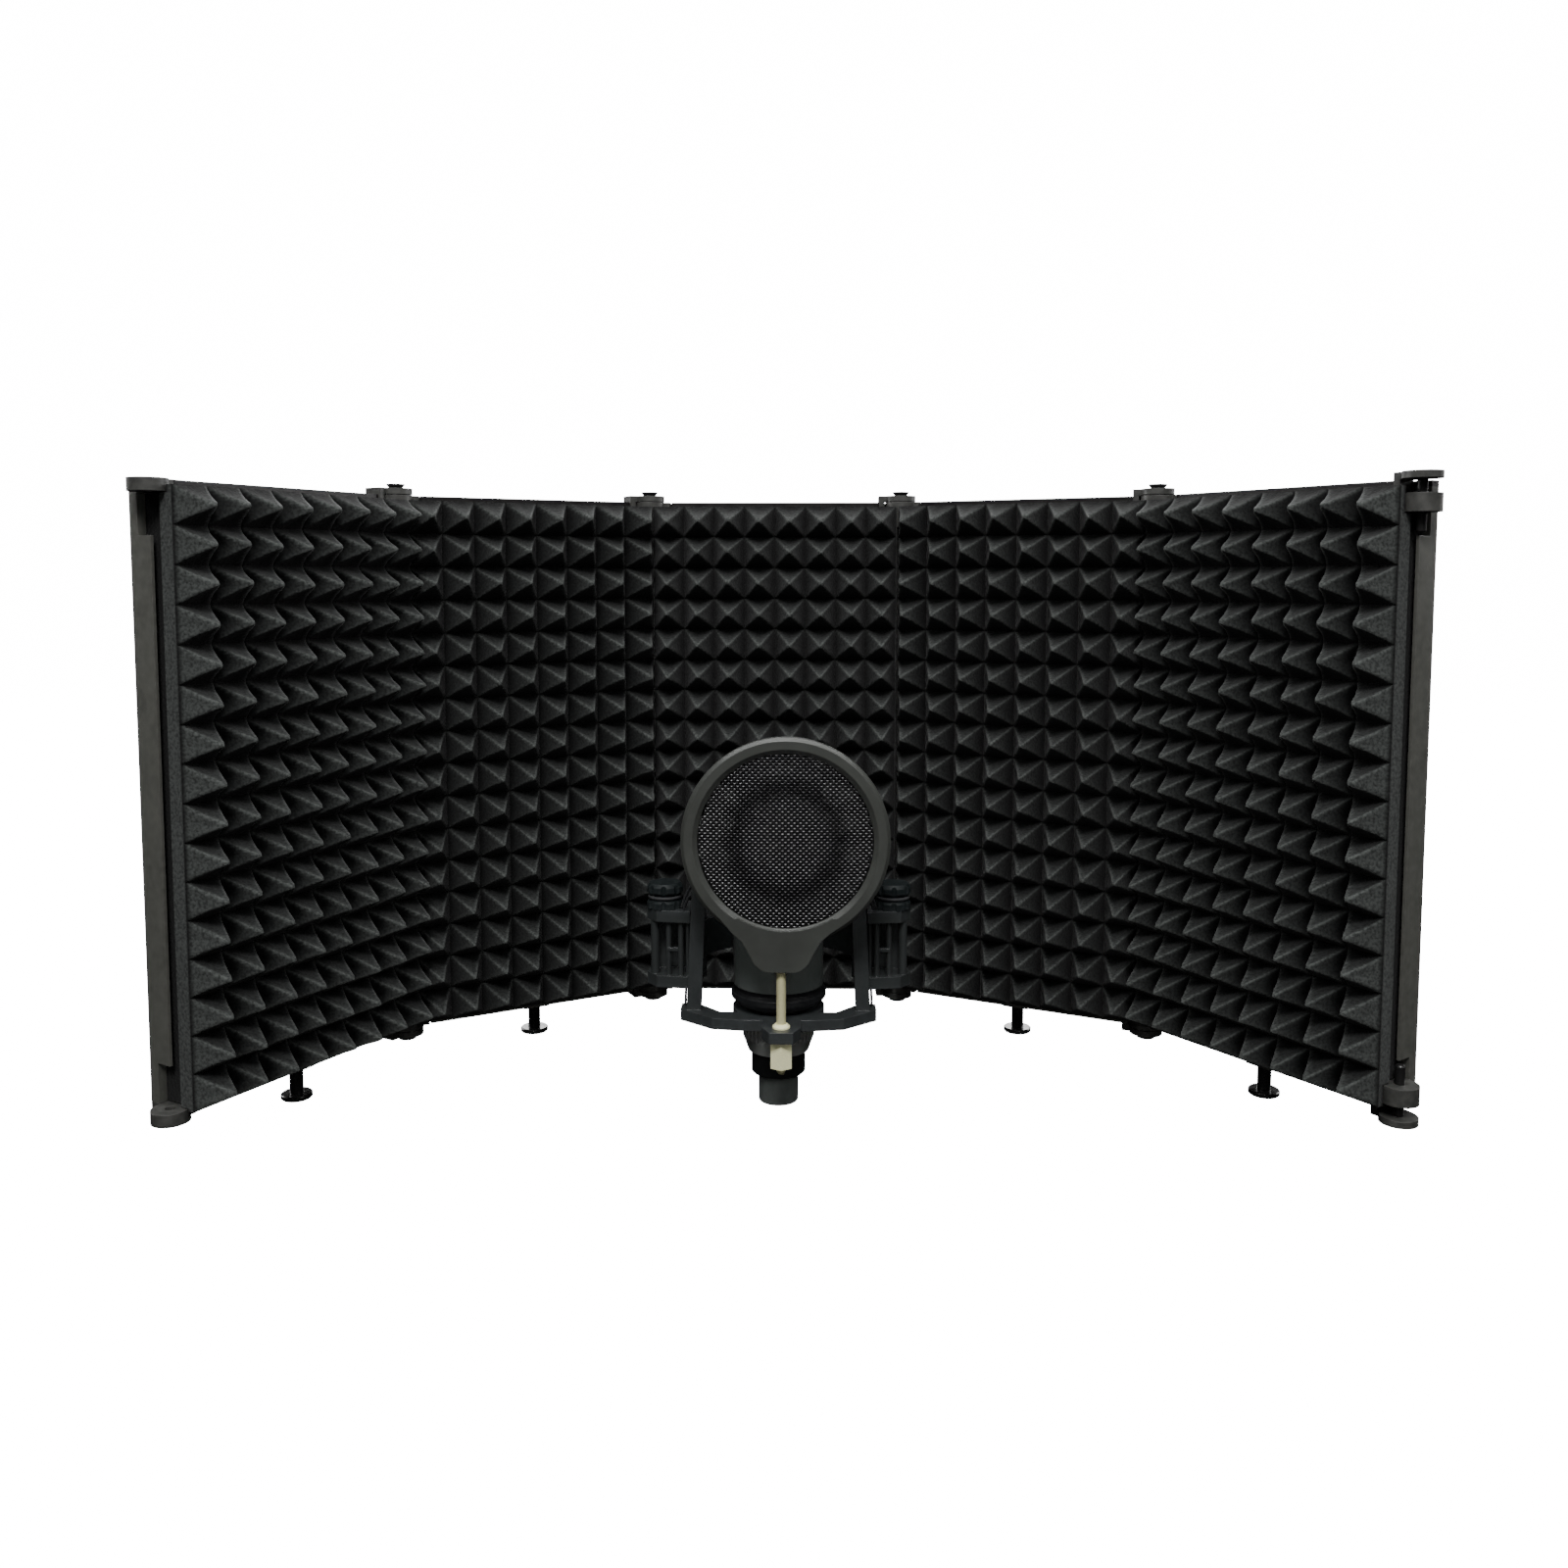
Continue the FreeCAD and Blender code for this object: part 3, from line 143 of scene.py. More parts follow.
def make_sky():
    """White backdrop for the camera, and soft light that comes only from above."""
    world = bpy.data.worlds.new("studio")
    bpy.context.scene.world = world
    world.use_nodes = True
    nodes = world.node_tree.nodes
    links = world.node_tree.links
    nodes.clear()
    place = nodes.new("ShaderNodeTexCoord")
    split = nodes.new("ShaderNodeSeparateXYZ")
    height = nodes.new("ShaderNodeMapRange")
    height.inputs["From Min"].default_value = -0.05
    height.inputs["From Max"].default_value = 0.9
    height.inputs["To Min"].default_value = AMBIENT_LOW
    height.inputs["To Max"].default_value = AMBIENT_HIGH
    ambient = nodes.new("ShaderNodeBackground")
    backdrop = nodes.new("ShaderNodeBackground")
    backdrop.inputs["Color"].default_value = (1, 1, 1, 1)
    backdrop.inputs["Strength"].default_value = WHITE_GLOW
    rays = nodes.new("ShaderNodeLightPath")
    mix = nodes.new("ShaderNodeMixShader")
    out = nodes.new("ShaderNodeOutputWorld")
    links.new(place.outputs["Generated"], split.inputs[0])
    links.new(split.outputs["Z"], height.inputs["Value"])
    links.new(height.outputs[0], ambient.inputs["Strength"])
    links.new(rays.outputs["Is Camera Ray"], mix.inputs[0])
    links.new(ambient.outputs[0], mix.inputs[1])
    links.new(backdrop.outputs[0], mix.inputs[2])
    links.new(mix.outputs[0], out.inputs[0])


def make_stage():
    """Pale floor at the height of the feet, a strong light above the front and weaker ones around it."""
    floor_z = cad_box[0].z
    mesh = bpy.data.meshes.new("floor")
    corners = [(x * FLOOR_HALF, y * FLOOR_HALF, floor_z) for x, y in ((-1, -1), (1, -1), (1, 1), (-1, 1))]
    mesh.from_pydata(corners, [], [(0, 1, 2, 3)])
    floor = bpy.data.objects.new("floor", mesh)
    bpy.context.scene.collection.objects.link(floor)
    paint = bpy.data.materials.new("pale_floor")
    paint.use_nodes = True
    shader = paint.node_tree.nodes["Principled BSDF"]
    shader.inputs["Base Color"].default_value = (0.93, 0.93, 0.93, 1)
    shader.inputs["Roughness"].default_value = 0.9
    shader.inputs["Specular IOR Level"].default_value = 0.1
    shader.inputs["Emission Color"].default_value = (1, 1, 1, 1)
    shader.inputs["Emission Strength"].default_value = WHITE_GLOW
    mesh.materials.append(paint)
    floor.visible_diffuse = False
    floor.visible_glossy = False
    make_sky()
    for name, place, target, size, power, options in LIGHTS:
        area_light(name, place, target, size, power, **options)


# ------------------------------------------------------------------ materials

def new_material(name):
    """Empty node material with its principled shader."""
    material = bpy.data.materials.new(name)
    material.use_nodes = True
    tree = material.node_tree
    return material, tree, tree.nodes["Principled BSDF"]


def object_noise(tree, size, detail=2.0, stretch=(1, 1, 1)):
    """Noise whose features are about size metres across, in the object's own space."""
    place = tree.nodes.new("ShaderNodeTexCoord")
    mapping = tree.nodes.new("ShaderNodeMapping")
    mapping.inputs["Scale"].default_value = stretch
    texture = tree.nodes.new("ShaderNodeTexNoise")
    texture.inputs["Scale"].default_value = 1.0 / size
    texture.inputs["Detail"].default_value = detail
    tree.links.new(place.outputs["Object"], mapping.inputs["Vector"])
    tree.links.new(mapping.outputs[0], texture.inputs["Vector"])
    return texture.outputs["Fac"]


def spread(tree, source, low, high, start=0.3, end=0.7):
    """Map source between start and end to a value between low and high."""
    ramp = tree.nodes.new("ShaderNodeMapRange")
    ramp.inputs["From Min"].default_value = start
    ramp.inputs["From Max"].default_value = end
    ramp.inputs["To Min"].default_value = low
    ramp.inputs["To Max"].default_value = high
    tree.links.new(source, ramp.inputs["Value"])
    return ramp.outputs[0]


def tinted(tree, factor, dark, light):
    """Colour between dark and light by factor."""
    mix = tree.nodes.new("ShaderNodeMix")
    mix.data_type = "RGBA"
    tree.links.new(factor, mix.inputs["Factor"])
    mix.inputs["A"].default_value = (*dark, 1)
    mix.inputs["B"].default_value = (*light, 1)
    return mix.outputs["Result"]


def scaled(colour, factor):
    return tuple(channel * factor for channel in colour)


def bumped(tree, shader, source, depth, strength=1.0, bevel=0.0):
    """Bump the shader by source, over edges that are rounded by bevel metres."""
    bump = tree.nodes.new("ShaderNodeBump")
    bump.inputs["Distance"].default_value = depth
    bump.inputs["Strength"].default_value = strength
    tree.links.new(source, bump.inputs["Height"])
    if bevel:
        edge = tree.nodes.new("ShaderNodeBevel")
        edge.samples = 6
        edge.inputs["Radius"].default_value = bevel
        tree.links.new(edge.outputs[0], bump.inputs["Normal"])
    tree.links.new(bump.outputs[0], shader.inputs["Normal"])


def moulded(name, colour, roughness, grain=0.0006, depth=0.00003, variation=0.12, bevel=0.0004,
            metallic=0.0, specular=0.5, coat=0.0, worn=None, painted_shade_above=None):
    """Moulded plastic or coated metal: fine grain, cloudy tone, worn edges, and painted shade (near black)
    above a given height.
    """
    material, tree, shader = new_material(name)
    cloud = object_noise(tree, 0.02, 4.0)
    tone = tinted(tree, spread(tree, cloud, 0, 1),
                  scaled(colour, 1 - variation), scaled(colour, 1 + variation))
    if worn:
        shape = tree.nodes.new("ShaderNodeNewGeometry")
        patches = object_noise(tree, 0.004, 3.0)
        edge = spread(tree, shape.outputs["Pointiness"], 0, 1, 0.52, 0.62)
        broken = tree.nodes.new("ShaderNodeMath")
        broken.operation = "MULTIPLY"
        tree.links.new(edge, broken.inputs[0])
        tree.links.new(spread(tree, patches, 0.2, 0.9), broken.inputs[1])
        mix = tree.nodes.new("ShaderNodeMix")
        mix.data_type = "RGBA"
        tree.links.new(broken.outputs[0], mix.inputs["Factor"])
        tree.links.new(tone, mix.inputs["A"])
        mix.inputs["B"].default_value = (*worn, 1)
        tone = mix.outputs["Result"]
    # Painted shade: near black above the given height, standing for shadow.
    if painted_shade_above:
        place = tree.nodes.new("ShaderNodeTexCoord")
        split = tree.nodes.new("ShaderNodeSeparateXYZ")
        tree.links.new(place.outputs["Object"], split.inputs[0])
        top = tree.nodes.new("ShaderNodeMix")
        top.data_type = "RGBA"
        tree.links.new(spread(tree, split.outputs["Z"], 0, 1, painted_shade_above, painted_shade_above + 0.0003),
                       top.inputs["Factor"])
        tree.links.new(tone, top.inputs["A"])
        top.inputs["B"].default_value = (0.004, 0.003, 0.003, 1)
        tone = top.outputs["Result"]
    tree.links.new(tone, shader.inputs["Base Color"])
    patchy = object_noise(tree, 0.008, 3.0)
    tree.links.new(spread(tree, patchy, roughness * 0.85, min(1, roughness * 1.15)),
                   shader.inputs["Roughness"])
    shader.inputs["Metallic"].default_value = metallic
    shader.inputs["Specular IOR Level"].default_value = specular
    shader.inputs["Coat Weight"].default_value = coat
    shader.inputs["Coat Roughness"].default_value = 0.16
    bumped(tree, shader, object_noise(tree, grain, 2.0), depth, 1.0, bevel)
    return material


def foam_material():
    """Open-cell foam: dull, pitted by its cells, and paler or darker by the painted light in the mesh's
    tone: painted shade in the valleys, painted highlights on the ridges and tips.
    """
    material, tree, shader = new_material("charcoal_foam")
    cells = object_noise(tree, 0.0015, 2.0)
    cloud = object_noise(tree, 0.022, 3.0)
    tone = tree.nodes.new("ShaderNodeAttribute")
    tone.attribute_name = "tone"
    pitted = tree.nodes.new("ShaderNodeMath")
    pitted.operation = "MULTIPLY"
    tree.links.new(spread(tree, cells, 0.40, 1.0, 0.32, 0.60), pitted.inputs[0])
    tree.links.new(spread(tree, cloud, 0.85, 1.0), pitted.inputs[1])
    shade = tree.nodes.new("ShaderNodeMath")
    shade.operation = "MULTIPLY"
    tree.links.new(pitted.outputs[0], shade.inputs[0])
    tree.links.new(tone.outputs["Fac"], shade.inputs[1])
    # Base colour goes from black to grey by the painted light tone, times the pores and the cloud.
    tree.links.new(tinted(tree, shade.outputs[0], (0.0010, 0.0011, 0.0012), (0.098, 0.106, 0.101)),
                   shader.inputs["Base Color"])
    shader.inputs["Roughness"].default_value = 0.95
    shader.inputs["Specular IOR Level"].default_value = 0.1
    shader.inputs["Sheen Weight"].default_value = 0.06
    shader.inputs["Sheen Roughness"].default_value = 0.6
    bumped(tree, shader, cells, 0.0006, 0.7)
    return material


def wire_material():
    """Woven wire, bright where the mesh's painted light tone says so: painted highlights on the crowns,
    painted shade elsewhere.
    """
    material, tree, shader = new_material("woven_wire")
    tone = tree.nodes.new("ShaderNodeAttribute")
    tone.attribute_name = "tone"
    patches = object_noise(tree, 0.003, 2.0)
    uneven = tree.nodes.new("ShaderNodeMath")
    uneven.operation = "MULTIPLY"
    tree.links.new(tone.outputs["Fac"], uneven.inputs[0])
    tree.links.new(spread(tree, patches, 0.75, 1.0), uneven.inputs[1])
    tree.links.new(tinted(tree, uneven.outputs[0], (0.002, 0.002, 0.0022), (0.42, 0.42, 0.43)),
                   shader.inputs["Base Color"])
    tree.links.new(spread(tree, patches, 0.30, 0.42), shader.inputs["Roughness"])
    shader.inputs["Metallic"].default_value = 0.6
    return material


def brushed_metal(name, colour, roughness, stretch=(1, 1, 14), metallic=1.0):
    """Plated metal with fine drawn lines."""
    material, tree, shader = new_material(name)
    lines = object_noise(tree, 0.0012, 3.0, stretch)
    tree.links.new(tinted(tree, spread(tree, lines, 0, 1), scaled(colour, 0.82), scaled(colour, 1.1)),
                   shader.inputs["Base Color"])
    tree.links.new(spread(tree, lines, roughness * 0.8, roughness * 1.3), shader.inputs["Roughness"])
    shader.inputs["Metallic"].default_value = metallic
    bumped(tree, shader, lines, 0.00002, 1.0, 0.0003)
    return material


def make_materials():
    """One procedural material for each material slot of the record."""
    return {
        # The frame's top flange above the foam gets painted shade.
        "frame_satin": moulded("frame_satin", (0.066, 0.068, 0.060), 0.42, worn=(0.10, 0.10, 0.09),
                               painted_shade_above=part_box("centre_foam")[1].z),
        "perforated_plate": moulded("perforated_plate", (0.022, 0.022, 0.024), 0.5, grain=0.0004,
                                    bevel=0.0002),
        "acoustic_foam": foam_material(),
        "hinge_plastic": moulded("hinge_plastic", (0.030, 0.031, 0.029), 0.4, worn=(0.07, 0.07, 0.065)),
        "black_hardware": moulded("black_hardware", (0.022, 0.022, 0.022), 0.34, metallic=0.5),
        "foot_plastic": moulded("foot_plastic", (0.012, 0.012, 0.012), 0.28, coat=0.2),
        "black_steel": moulded("black_steel", (0.020, 0.020, 0.021), 0.45, grain=0.0004,
                               worn=(0.06, 0.06, 0.06)),
        "bright_steel": brushed_metal("bright_steel", (0.62, 0.61, 0.58), 0.3),
        "knob_plastic": moulded("knob_plastic", (0.02, 0.02, 0.02), 0.45),
        "mount_plastic": moulded("mount_plastic", (0.031, 0.0345, 0.0345), 0.34, bevel=0.0005,
                                 worn=(0.045, 0.050, 0.052)),
        "anchor_plastic": moulded("anchor_plastic", (0.006, 0.009, 0.0095), 0.5, specular=0.2,
                                  worn=(0.03, 0.035, 0.036)),
        "elastic_cord": moulded("elastic_cord", (0.03, 0.031, 0.033), 0.75, grain=0.0005, depth=0.0002,
                                bevel=0),
        "mic_black": moulded("mic_black", (0.007, 0.0075, 0.008), 0.36, grain=0.0003, depth=0.00001,
                             variation=0.05, coat=0.1, worn=(0.04, 0.042, 0.045)),
        # Mic body and connector shell: a far lighter copy of mic_black, partly their satin grey and partly
        # painted light standing in for light their shade takes away.
        "mic_satin_painted_light": moulded("mic_satin_painted_light", (0.080, 0.090, 0.086), 0.4, grain=0.0003, depth=0.00001,
                             variation=0.05, coat=0.1, worn=(0.10, 0.11, 0.105)),
        "grille_mesh": moulded("grille_mesh", (0.035, 0.036, 0.038), 0.35, bevel=0, metallic=0.7),
        "capsule": brushed_metal("capsule", (0.75, 0.58, 0.26), 0.25),
        "circuit_board": moulded("circuit_board", (0.02, 0.14, 0.06), 0.4),
        "connector_insulator": moulded("connector_insulator", (0.015, 0.015, 0.015), 0.6),
        "contact_metal": brushed_metal("contact_metal", (0.8, 0.78, 0.7), 0.18),
        # Ring nut: colour raised from dark to mid grey, painted light standing in for light that the cradle
        # bar's shadow takes away.
        "ring_nut_plastic": moulded("ring_nut_plastic", (0.21, 0.22, 0.21), 0.42, worn=(0.28, 0.28, 0.28)),
        "pop_ring_metal": moulded("pop_ring_metal", (0.062, 0.066, 0.060), 0.34, grain=0.0005, bevel=0.0005,
                                  specular=0.6, metallic=0.2, coat=0.35),
        "pop_mesh": wire_material(),
        "nickel": brushed_metal("nickel", (0.92, 0.88, 0.52), 0.42, metallic=0.45),
        # Clamp nuts: a lighter, non-metallic copy of nickel, painted light standing in for light their shade
        # takes away.
        "painted_lit_nickel": brushed_metal("painted_lit_nickel", (1.0, 0.98, 0.60), 0.5, metallic=0.0),
    }


def paint(piece, slot_name):
    """Give piece the finish of a slot of the record."""
    piece.data.materials.clear()
    piece.data.materials.append(MATERIALS[slot_name])


# Nodes whose finish differs from the rest of their slot's; the mic body, connector shell and clamp nuts get
# lighter copies with painted light.
NODE_FINISHES = {"mic_body": "mic_satin_painted_light", "connector_shell": "mic_satin_painted_light", "band_anchors": "anchor_plastic",
                 "pop_clamp_nuts": "painted_lit_nickel"}


def paint_cad_nodes():
    """Better materials for the CAD nodes that stay in view."""
    for row in frame["record"]["subparts"]:
        node = frame["nodes"][row["node"]]
        if not node.material_slots:
            node.data.materials.append(None)
        for material_slot in node.material_slots:
            material_slot.link = "OBJECT"
            material_slot.material = MATERIALS[NODE_FINISHES.get(row["node"], row["material_slot"])]


# ------------------------------------------------------------------ mesh helpers

def mesh_piece(name, points, faces, smooth=True):
    """Linked mesh object made from points and faces."""
    mesh = bpy.data.meshes.new(name)
    mesh.from_pydata(points, [], faces)
    mesh.update()
    mesh.polygons.foreach_set("use_smooth", [smooth] * len(mesh.polygons))
    piece = bpy.data.objects.new(name, mesh)
    bpy.context.scene.collection.objects.link(piece)
    return piece


def tube(path, radius, sides, closed=False):
    """Points and faces of a tube along path, a list of points."""
    points = []
    count = len(path)
    for index, place in enumerate(path):
        ahead = path[(index + 1) % count] if closed or index + 1 < count else place
        behind = path[index - 1] if closed or index > 0 else place
        along = (ahead - behind).normalized()
        across = along.orthogonal() if index == 0 else across - along * across.dot(along)
        across.normalize()
        other = along.cross(across)
        for side in range(sides):
            angle = 2 * math.pi * side / sides
            points.append(place + radius * (math.cos(angle) * across + math.sin(angle) * other))
    faces = []
    for index in range(count if closed else count - 1):
        first = index * sides
        second = (index + 1) % count * sides
        for side in range(sides):
            following = (side + 1) % sides
            faces.append((first + side, first + following, second + following, second + side))
    if not closed:
        faces.append(tuple(reversed(range(sides))))
        faces.append(tuple(range((count - 1) * sides, count * sides)))
    return points, faces


def join(parts):
    """One list of points and one of faces from several."""
    points = []
    faces = []
    for own_points, own_faces in parts:
        start = len(points)
        points += own_points
        faces += [tuple(start + corner for corner in face) for face in own_faces]
    return points, faces


# ------------------------------------------------------------------ acoustic foam

FOAM_COLUMNS = 8
FOAM_ROWS = 16
FOAM_STEPS = 14              # grid steps across one pyramid, an even number
FOAM_VALLEY = 14.0 * MM      # valleys in front of the hinge plane
FOAM_BULGE = 1.3 * MM        # how far a free side edge stands out
FOAM_GAP = 0.06 * MM         # between a side edge and its neighbour's, halved, at the fold's limit
FOAM_HEEL = mm(0.55, 1.2, 0)  # where a side wall ends at the hinge plane, from the hinge axis
FOAM_BACK_INSET = 2.9 * MM   # side walls beside the rails, behind the hinge plane
FOAM_FREE_HEEL = -4.4 * MM   # where a free side wall turns in, at the hinge plane
FOAM_FREE_INSET = 5.4 * MM   # and how far in it then lies
FREE_SIDE = {"far_left": -1, "far_right": 1}
FOLD_JOINTS = ("far_left_fold", "left_fold", "right_fold", "far_right_fold")
BARE_PAINTED_LIGHT = 0.58             # painted light of faces that nothing shades
FOAM_GROOVE = 1.2 * MM       # how far behind the valleys a side wall starts
SLAB_PAINTED_SHADE = 0.03             # painted shade of the slab's back and of the parts of its sides next to it, in the gap by the rails
HEIGHT_SPREAD = (0.955, 0.995)  # shares of a full pyramid's height
SLOW_WAVES = 28              # per metre, how the pyramids lean
FINE_WAVES = 330             # per metre, how the cut surface wavers
LEAN = 0.35 * MM             # at a pyramid's foot
LEAN_GROWTH = 0.045          # more of it for each metre that the place stands out
WAVER = 0.14 * MM
POCKET = mm(14.4, 10.2, 16.8)  # room for a hinge: from the axis, in front of it, and up
FOOT_POCKET = mm(16.6, 2.3, 12.3)  # room for a foot's boss: wide, in front of the hinge plane, and up
NOTCH_RADIUS = 10.1 * MM     # round the knuckles at a free end
NOTCH_FRONT = 2.4 * MM       # in front of their leaves
NOTCH_LEAF = 14.4 * MM       # past their leaves, from the hinge axis
EAR_ROOM = 7.0 * MM          # up and down at a free ear, and at a free fork
FORK_ROOM = 16.6 * MM


def hinge_axes():
    """Plan positions of the six hinge axes, from the free ear to the free fork."""
    mounts = {mount["name"]: mount for mount in frame["record"]["mounts"]}
    axes = [Vector(mounts["free_ear_top"]["pos_m"][:2])]
    for panel in PANELS:
        low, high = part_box(panel + "_hinge_pins")
        axes.append(((low + high) / 2).xy)
    return axes


def panel_frames():
    """For each panel, its width and the matrix from its own frame: x to the right along it, y back, z up."""
    axes = hinge_axes()
    frames = {}
    for panel, start, end in zip(PANELS, axes, axes[1:]):
        across = (end - start).normalized()
        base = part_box(panel + "_frame")[0].z
        frames[panel] = ((end - start).length, Matrix((
            (across.x, -across.y, 0, start.x),
            (across.y, across.x, 0, start.y),
            (0, 0, 1, base),
            (0, 0, 0, 1))))
    return frames


def pyramid(across, up):
    """Height from 0 to 1 at a place in a cell, -1 to 1 both ways: blunt tip, ridges and hollow flanks."""
    tip_round = 0.09
    hollow = 0.34
    dip = 0.05
    near, distance = sorted((abs(across), abs(up)))
    blunt = math.hypot(distance, tip_round) - tip_round
    fall = 1 - blunt / (math.hypot(1, tip_round) - tip_round)
    flank = 1 - near / distance if distance else 0
    return (1 - hollow) * fall + hollow * fall ** 2 - dip * flank * 4 * distance * (1 - distance)


def foam_painted_light(across, up):
    """Painted light of the foam at a place in a cell: painted shade in the valleys, painted highlights on
    the ridges and the tip.
    """
    distance = max(abs(across), abs(up))
    ridge = math.exp(-((abs(across) - abs(up)) / 0.10) ** 2)
    rise = max(0, 1 - distance / 0.93)
    return min(1, 0.02 + 0.48 * rise ** 1.4 + 0.66 * ridge * math.sqrt(1 - distance))


def meeting_inset(panel, side):
    """How far from the hinge axis a tile's side edge meets its neighbour's, folded as far as they go."""
    axes = hinge_axes()
    number = PANELS.index(panel) + (1 if side > 0 else 0)
    before, axis, after = axes[number - 1:number + 2]
    joints = {joint["name"]: joint for joint in frame["record"]["behaviour"]["joints"]}
    fold = abs((axis - before).angle_signed(after - axis))
    fold += math.radians(joints[FOLD_JOINTS[number - 1]]["range_deg"][1])
    return FOAM_VALLEY * math.tan(fold / 2) + FOAM_GAP


def foam_extents(panel, width):
    """Side edges at the front of a tile, its bottom, top, back and tips, in the panel's frame."""
    low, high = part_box("centre_foam")
    start = (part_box("left_hinge_pins")[0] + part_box("left_hinge_pins")[1]) / 2
    inset = low.x - start.x
    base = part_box("centre_frame")[0].z
    left = meeting_inset(panel, -1) if panel != "far_left" else inset - FOAM_BULGE
    right = width - (meeting_inset(panel, 1) if panel != "far_right" else inset - FOAM_BULGE)
    return SimpleNamespace(left=left, right=right, bottom=low.z - base, top=high.z - base,
                           back=high.y - start.y, tip=start.y - low.y)


def foam_points(panel, width, rng):
    """Front grid of a tile in the panel's frame, its points' tones of painted light and shade, and its size
    in grid points.
    """
    ends = foam_extents(panel, width)
    across = FOAM_COLUMNS * FOAM_STEPS
    up = FOAM_ROWS * FOAM_STEPS
    half = FOAM_STEPS / 2
    full = ends.tip - FOAM_VALLEY
    rise = []
    for _ in range(FOAM_ROWS + 1):
        rise.append([full * rng.uniform(*HEIGHT_SPREAD) for _ in range(FOAM_COLUMNS + 1)])
    seed = Vector((PANELS.index(panel) * 3.7, 0, 0))
    points = []
    tones = []
    for row in range(up + 1):
        for column in range(across + 1):
            cell_x = column % FOAM_STEPS / half - 1
            cell_z = row % FOAM_STEPS / half - 1
            reach = rise[row // FOAM_STEPS][column // FOAM_STEPS]
            free = reach * pyramid(cell_x, cell_z)
            place = Vector((ends.left + (ends.right - ends.left) * column / across,
                            -FOAM_VALLEY - free,
                            ends.bottom + (ends.top - ends.bottom) * row / up))
            if 0 < column < across and 0 < row < up:
                slow = noise.noise_vector(place * SLOW_WAVES + seed)
                fine = noise.noise_vector(place * FINE_WAVES + seed)
                lean = slow * (LEAN + LEAN_GROWTH * free)
                place += Vector((lean.x, 0, lean.z)) + fine * WAVER
            points.append(place)
            # Outward faces of the outermost column at a free side get painted light that stays pale down to
            # the valley; the rest get the cell's painted shade and highlights.
            outermost = FREE_SIDE.get(panel, 0) * (2 * column / across - 1) > 1 - 1 / FOAM_COLUMNS
            bare = outermost and abs(cell_x) >= abs(cell_z) and 0 < column < across
            tone = foam_painted_light(cell_x, cell_z)
            tones.append(BARE_PAINTED_LIGHT + (1 - BARE_PAINTED_LIGHT) * tone ** 2 if bare else tone)
    return points, tones, across, up


def side_walls(inset, back, free):
    """How far in and how far back a tile's side wall goes, step by step from its front edge."""
    if free:
        return ((inset, FOAM_GROOVE - FOAM_VALLEY), (inset, FOAM_FREE_HEEL),
                (FOAM_FREE_INSET, FOAM_FREE_HEEL + 1.2 * MM), (FOAM_FREE_INSET, back))
    return ((inset - (inset - FOAM_HEEL.x) * 0.1, FOAM_GROOVE - FOAM_VALLEY), (FOAM_HEEL.x, FOAM_HEEL.y),
            (FOAM_BACK_INSET, FOAM_HEEL.y + 0.6 * MM), (FOAM_BACK_INSET, back))


def foam_tile(panel, width, matrix, rng):
    """Convoluted foam tile: pyramids on a slab, with pockets at its corners and over the foot boss."""
    ends = foam_extents(panel, width)
    points, tones, across, up = foam_points(panel, width, rng)
    row_length = across + 1
    faces = []
    for row in range(up):
        for column in range(across):
            a = row * row_length + column
            b, c, d = a + 1, a + row_length + 1, a + row_length
            in_x = column % FOAM_STEPS - (FOAM_STEPS - 1) / 2
            in_z = row % FOAM_STEPS - (FOAM_STEPS - 1) / 2
            if abs(in_x) != abs(in_z):
                faces.append((a, b, c, d))
            elif in_x * in_z > 0:
                faces += [(a, b, c), (a, c, d)]
            else:
                faces += [(a, b, d), (b, c, d)]
    rim = list(range(row_length)) + [row * row_length + across for row in range(1, up + 1)]
    rim += [up * row_length + column for column in range(across - 1, -1, -1)]
    rim += [row * row_length for row in range(up - 1, 0, -1)]
    rings = [rim]
    left_walls = side_walls(ends.left, ends.back, panel == "far_left")
    right_walls = side_walls(width - ends.right, ends.back, panel == "far_right")
    for (left_inset, left_depth), (right_inset, right_depth) in zip(left_walls, right_walls):
        ring = []
        for corner in rim:
            share = (points[corner].x - ends.left) / (ends.right - ends.left)
            depth = left_depth + (right_depth - left_depth) * share
            x = left_inset + (width - left_inset - right_inset) * share
            ring.append(len(points))
            points.append(Vector((x, depth, points[corner].z)))
            # Painted light on the walls at the rim; painted shade on the walls in the gap by the rails and
            # on the slab's back.
            tones.append(BARE_PAINTED_LIGHT if len(rings) < 3 else SLAB_PAINTED_SHADE)
        rings.append(ring)
    count = len(rim)
    for outer, inner in zip(rings, rings[1:]):
        for index in range(count):
            following = (index + 1) % count
            faces.append((outer[following], outer[index], inner[index], inner[following]))
    faces.append(tuple(reversed(rings[-1])))
    tile = mesh_piece(panel + "_foam_tile", points, faces)
    # The tone attribute holds painted shade and painted highlights.
    tile.data.attributes.new("tone", "FLOAT", "POINT").data.foreach_set("value", tones)
    mark_sharp(tile, across, up)
    cut_pockets(tile, panel, width, ends.back)
    tile.data.transform(matrix)
    return tile


def mark_sharp(tile, across, up):
    """Creases along the valleys and round the tile's edges, so that only the ridges shade softly."""
    row_length = across + 1
    front = row_length * (up + 1)
    sharp = []
    for edge in tile.data.edges:
        a, b = edge.vertices
        if a < front and b < front:
            same_column = a % row_length == b % row_length and a % row_length % FOAM_STEPS == 0
            same_row = a // row_length == b // row_length and a // row_length % FOAM_STEPS == 0
            sharp.append(same_column or same_row)
        else:
            sharp.append(True)
    attributes = tile.data.attributes
    layer = attributes.get("sharp_edge") or attributes.new("sharp_edge", "BOOLEAN", "EDGE")
    layer.data.foreach_set("value", sharp)


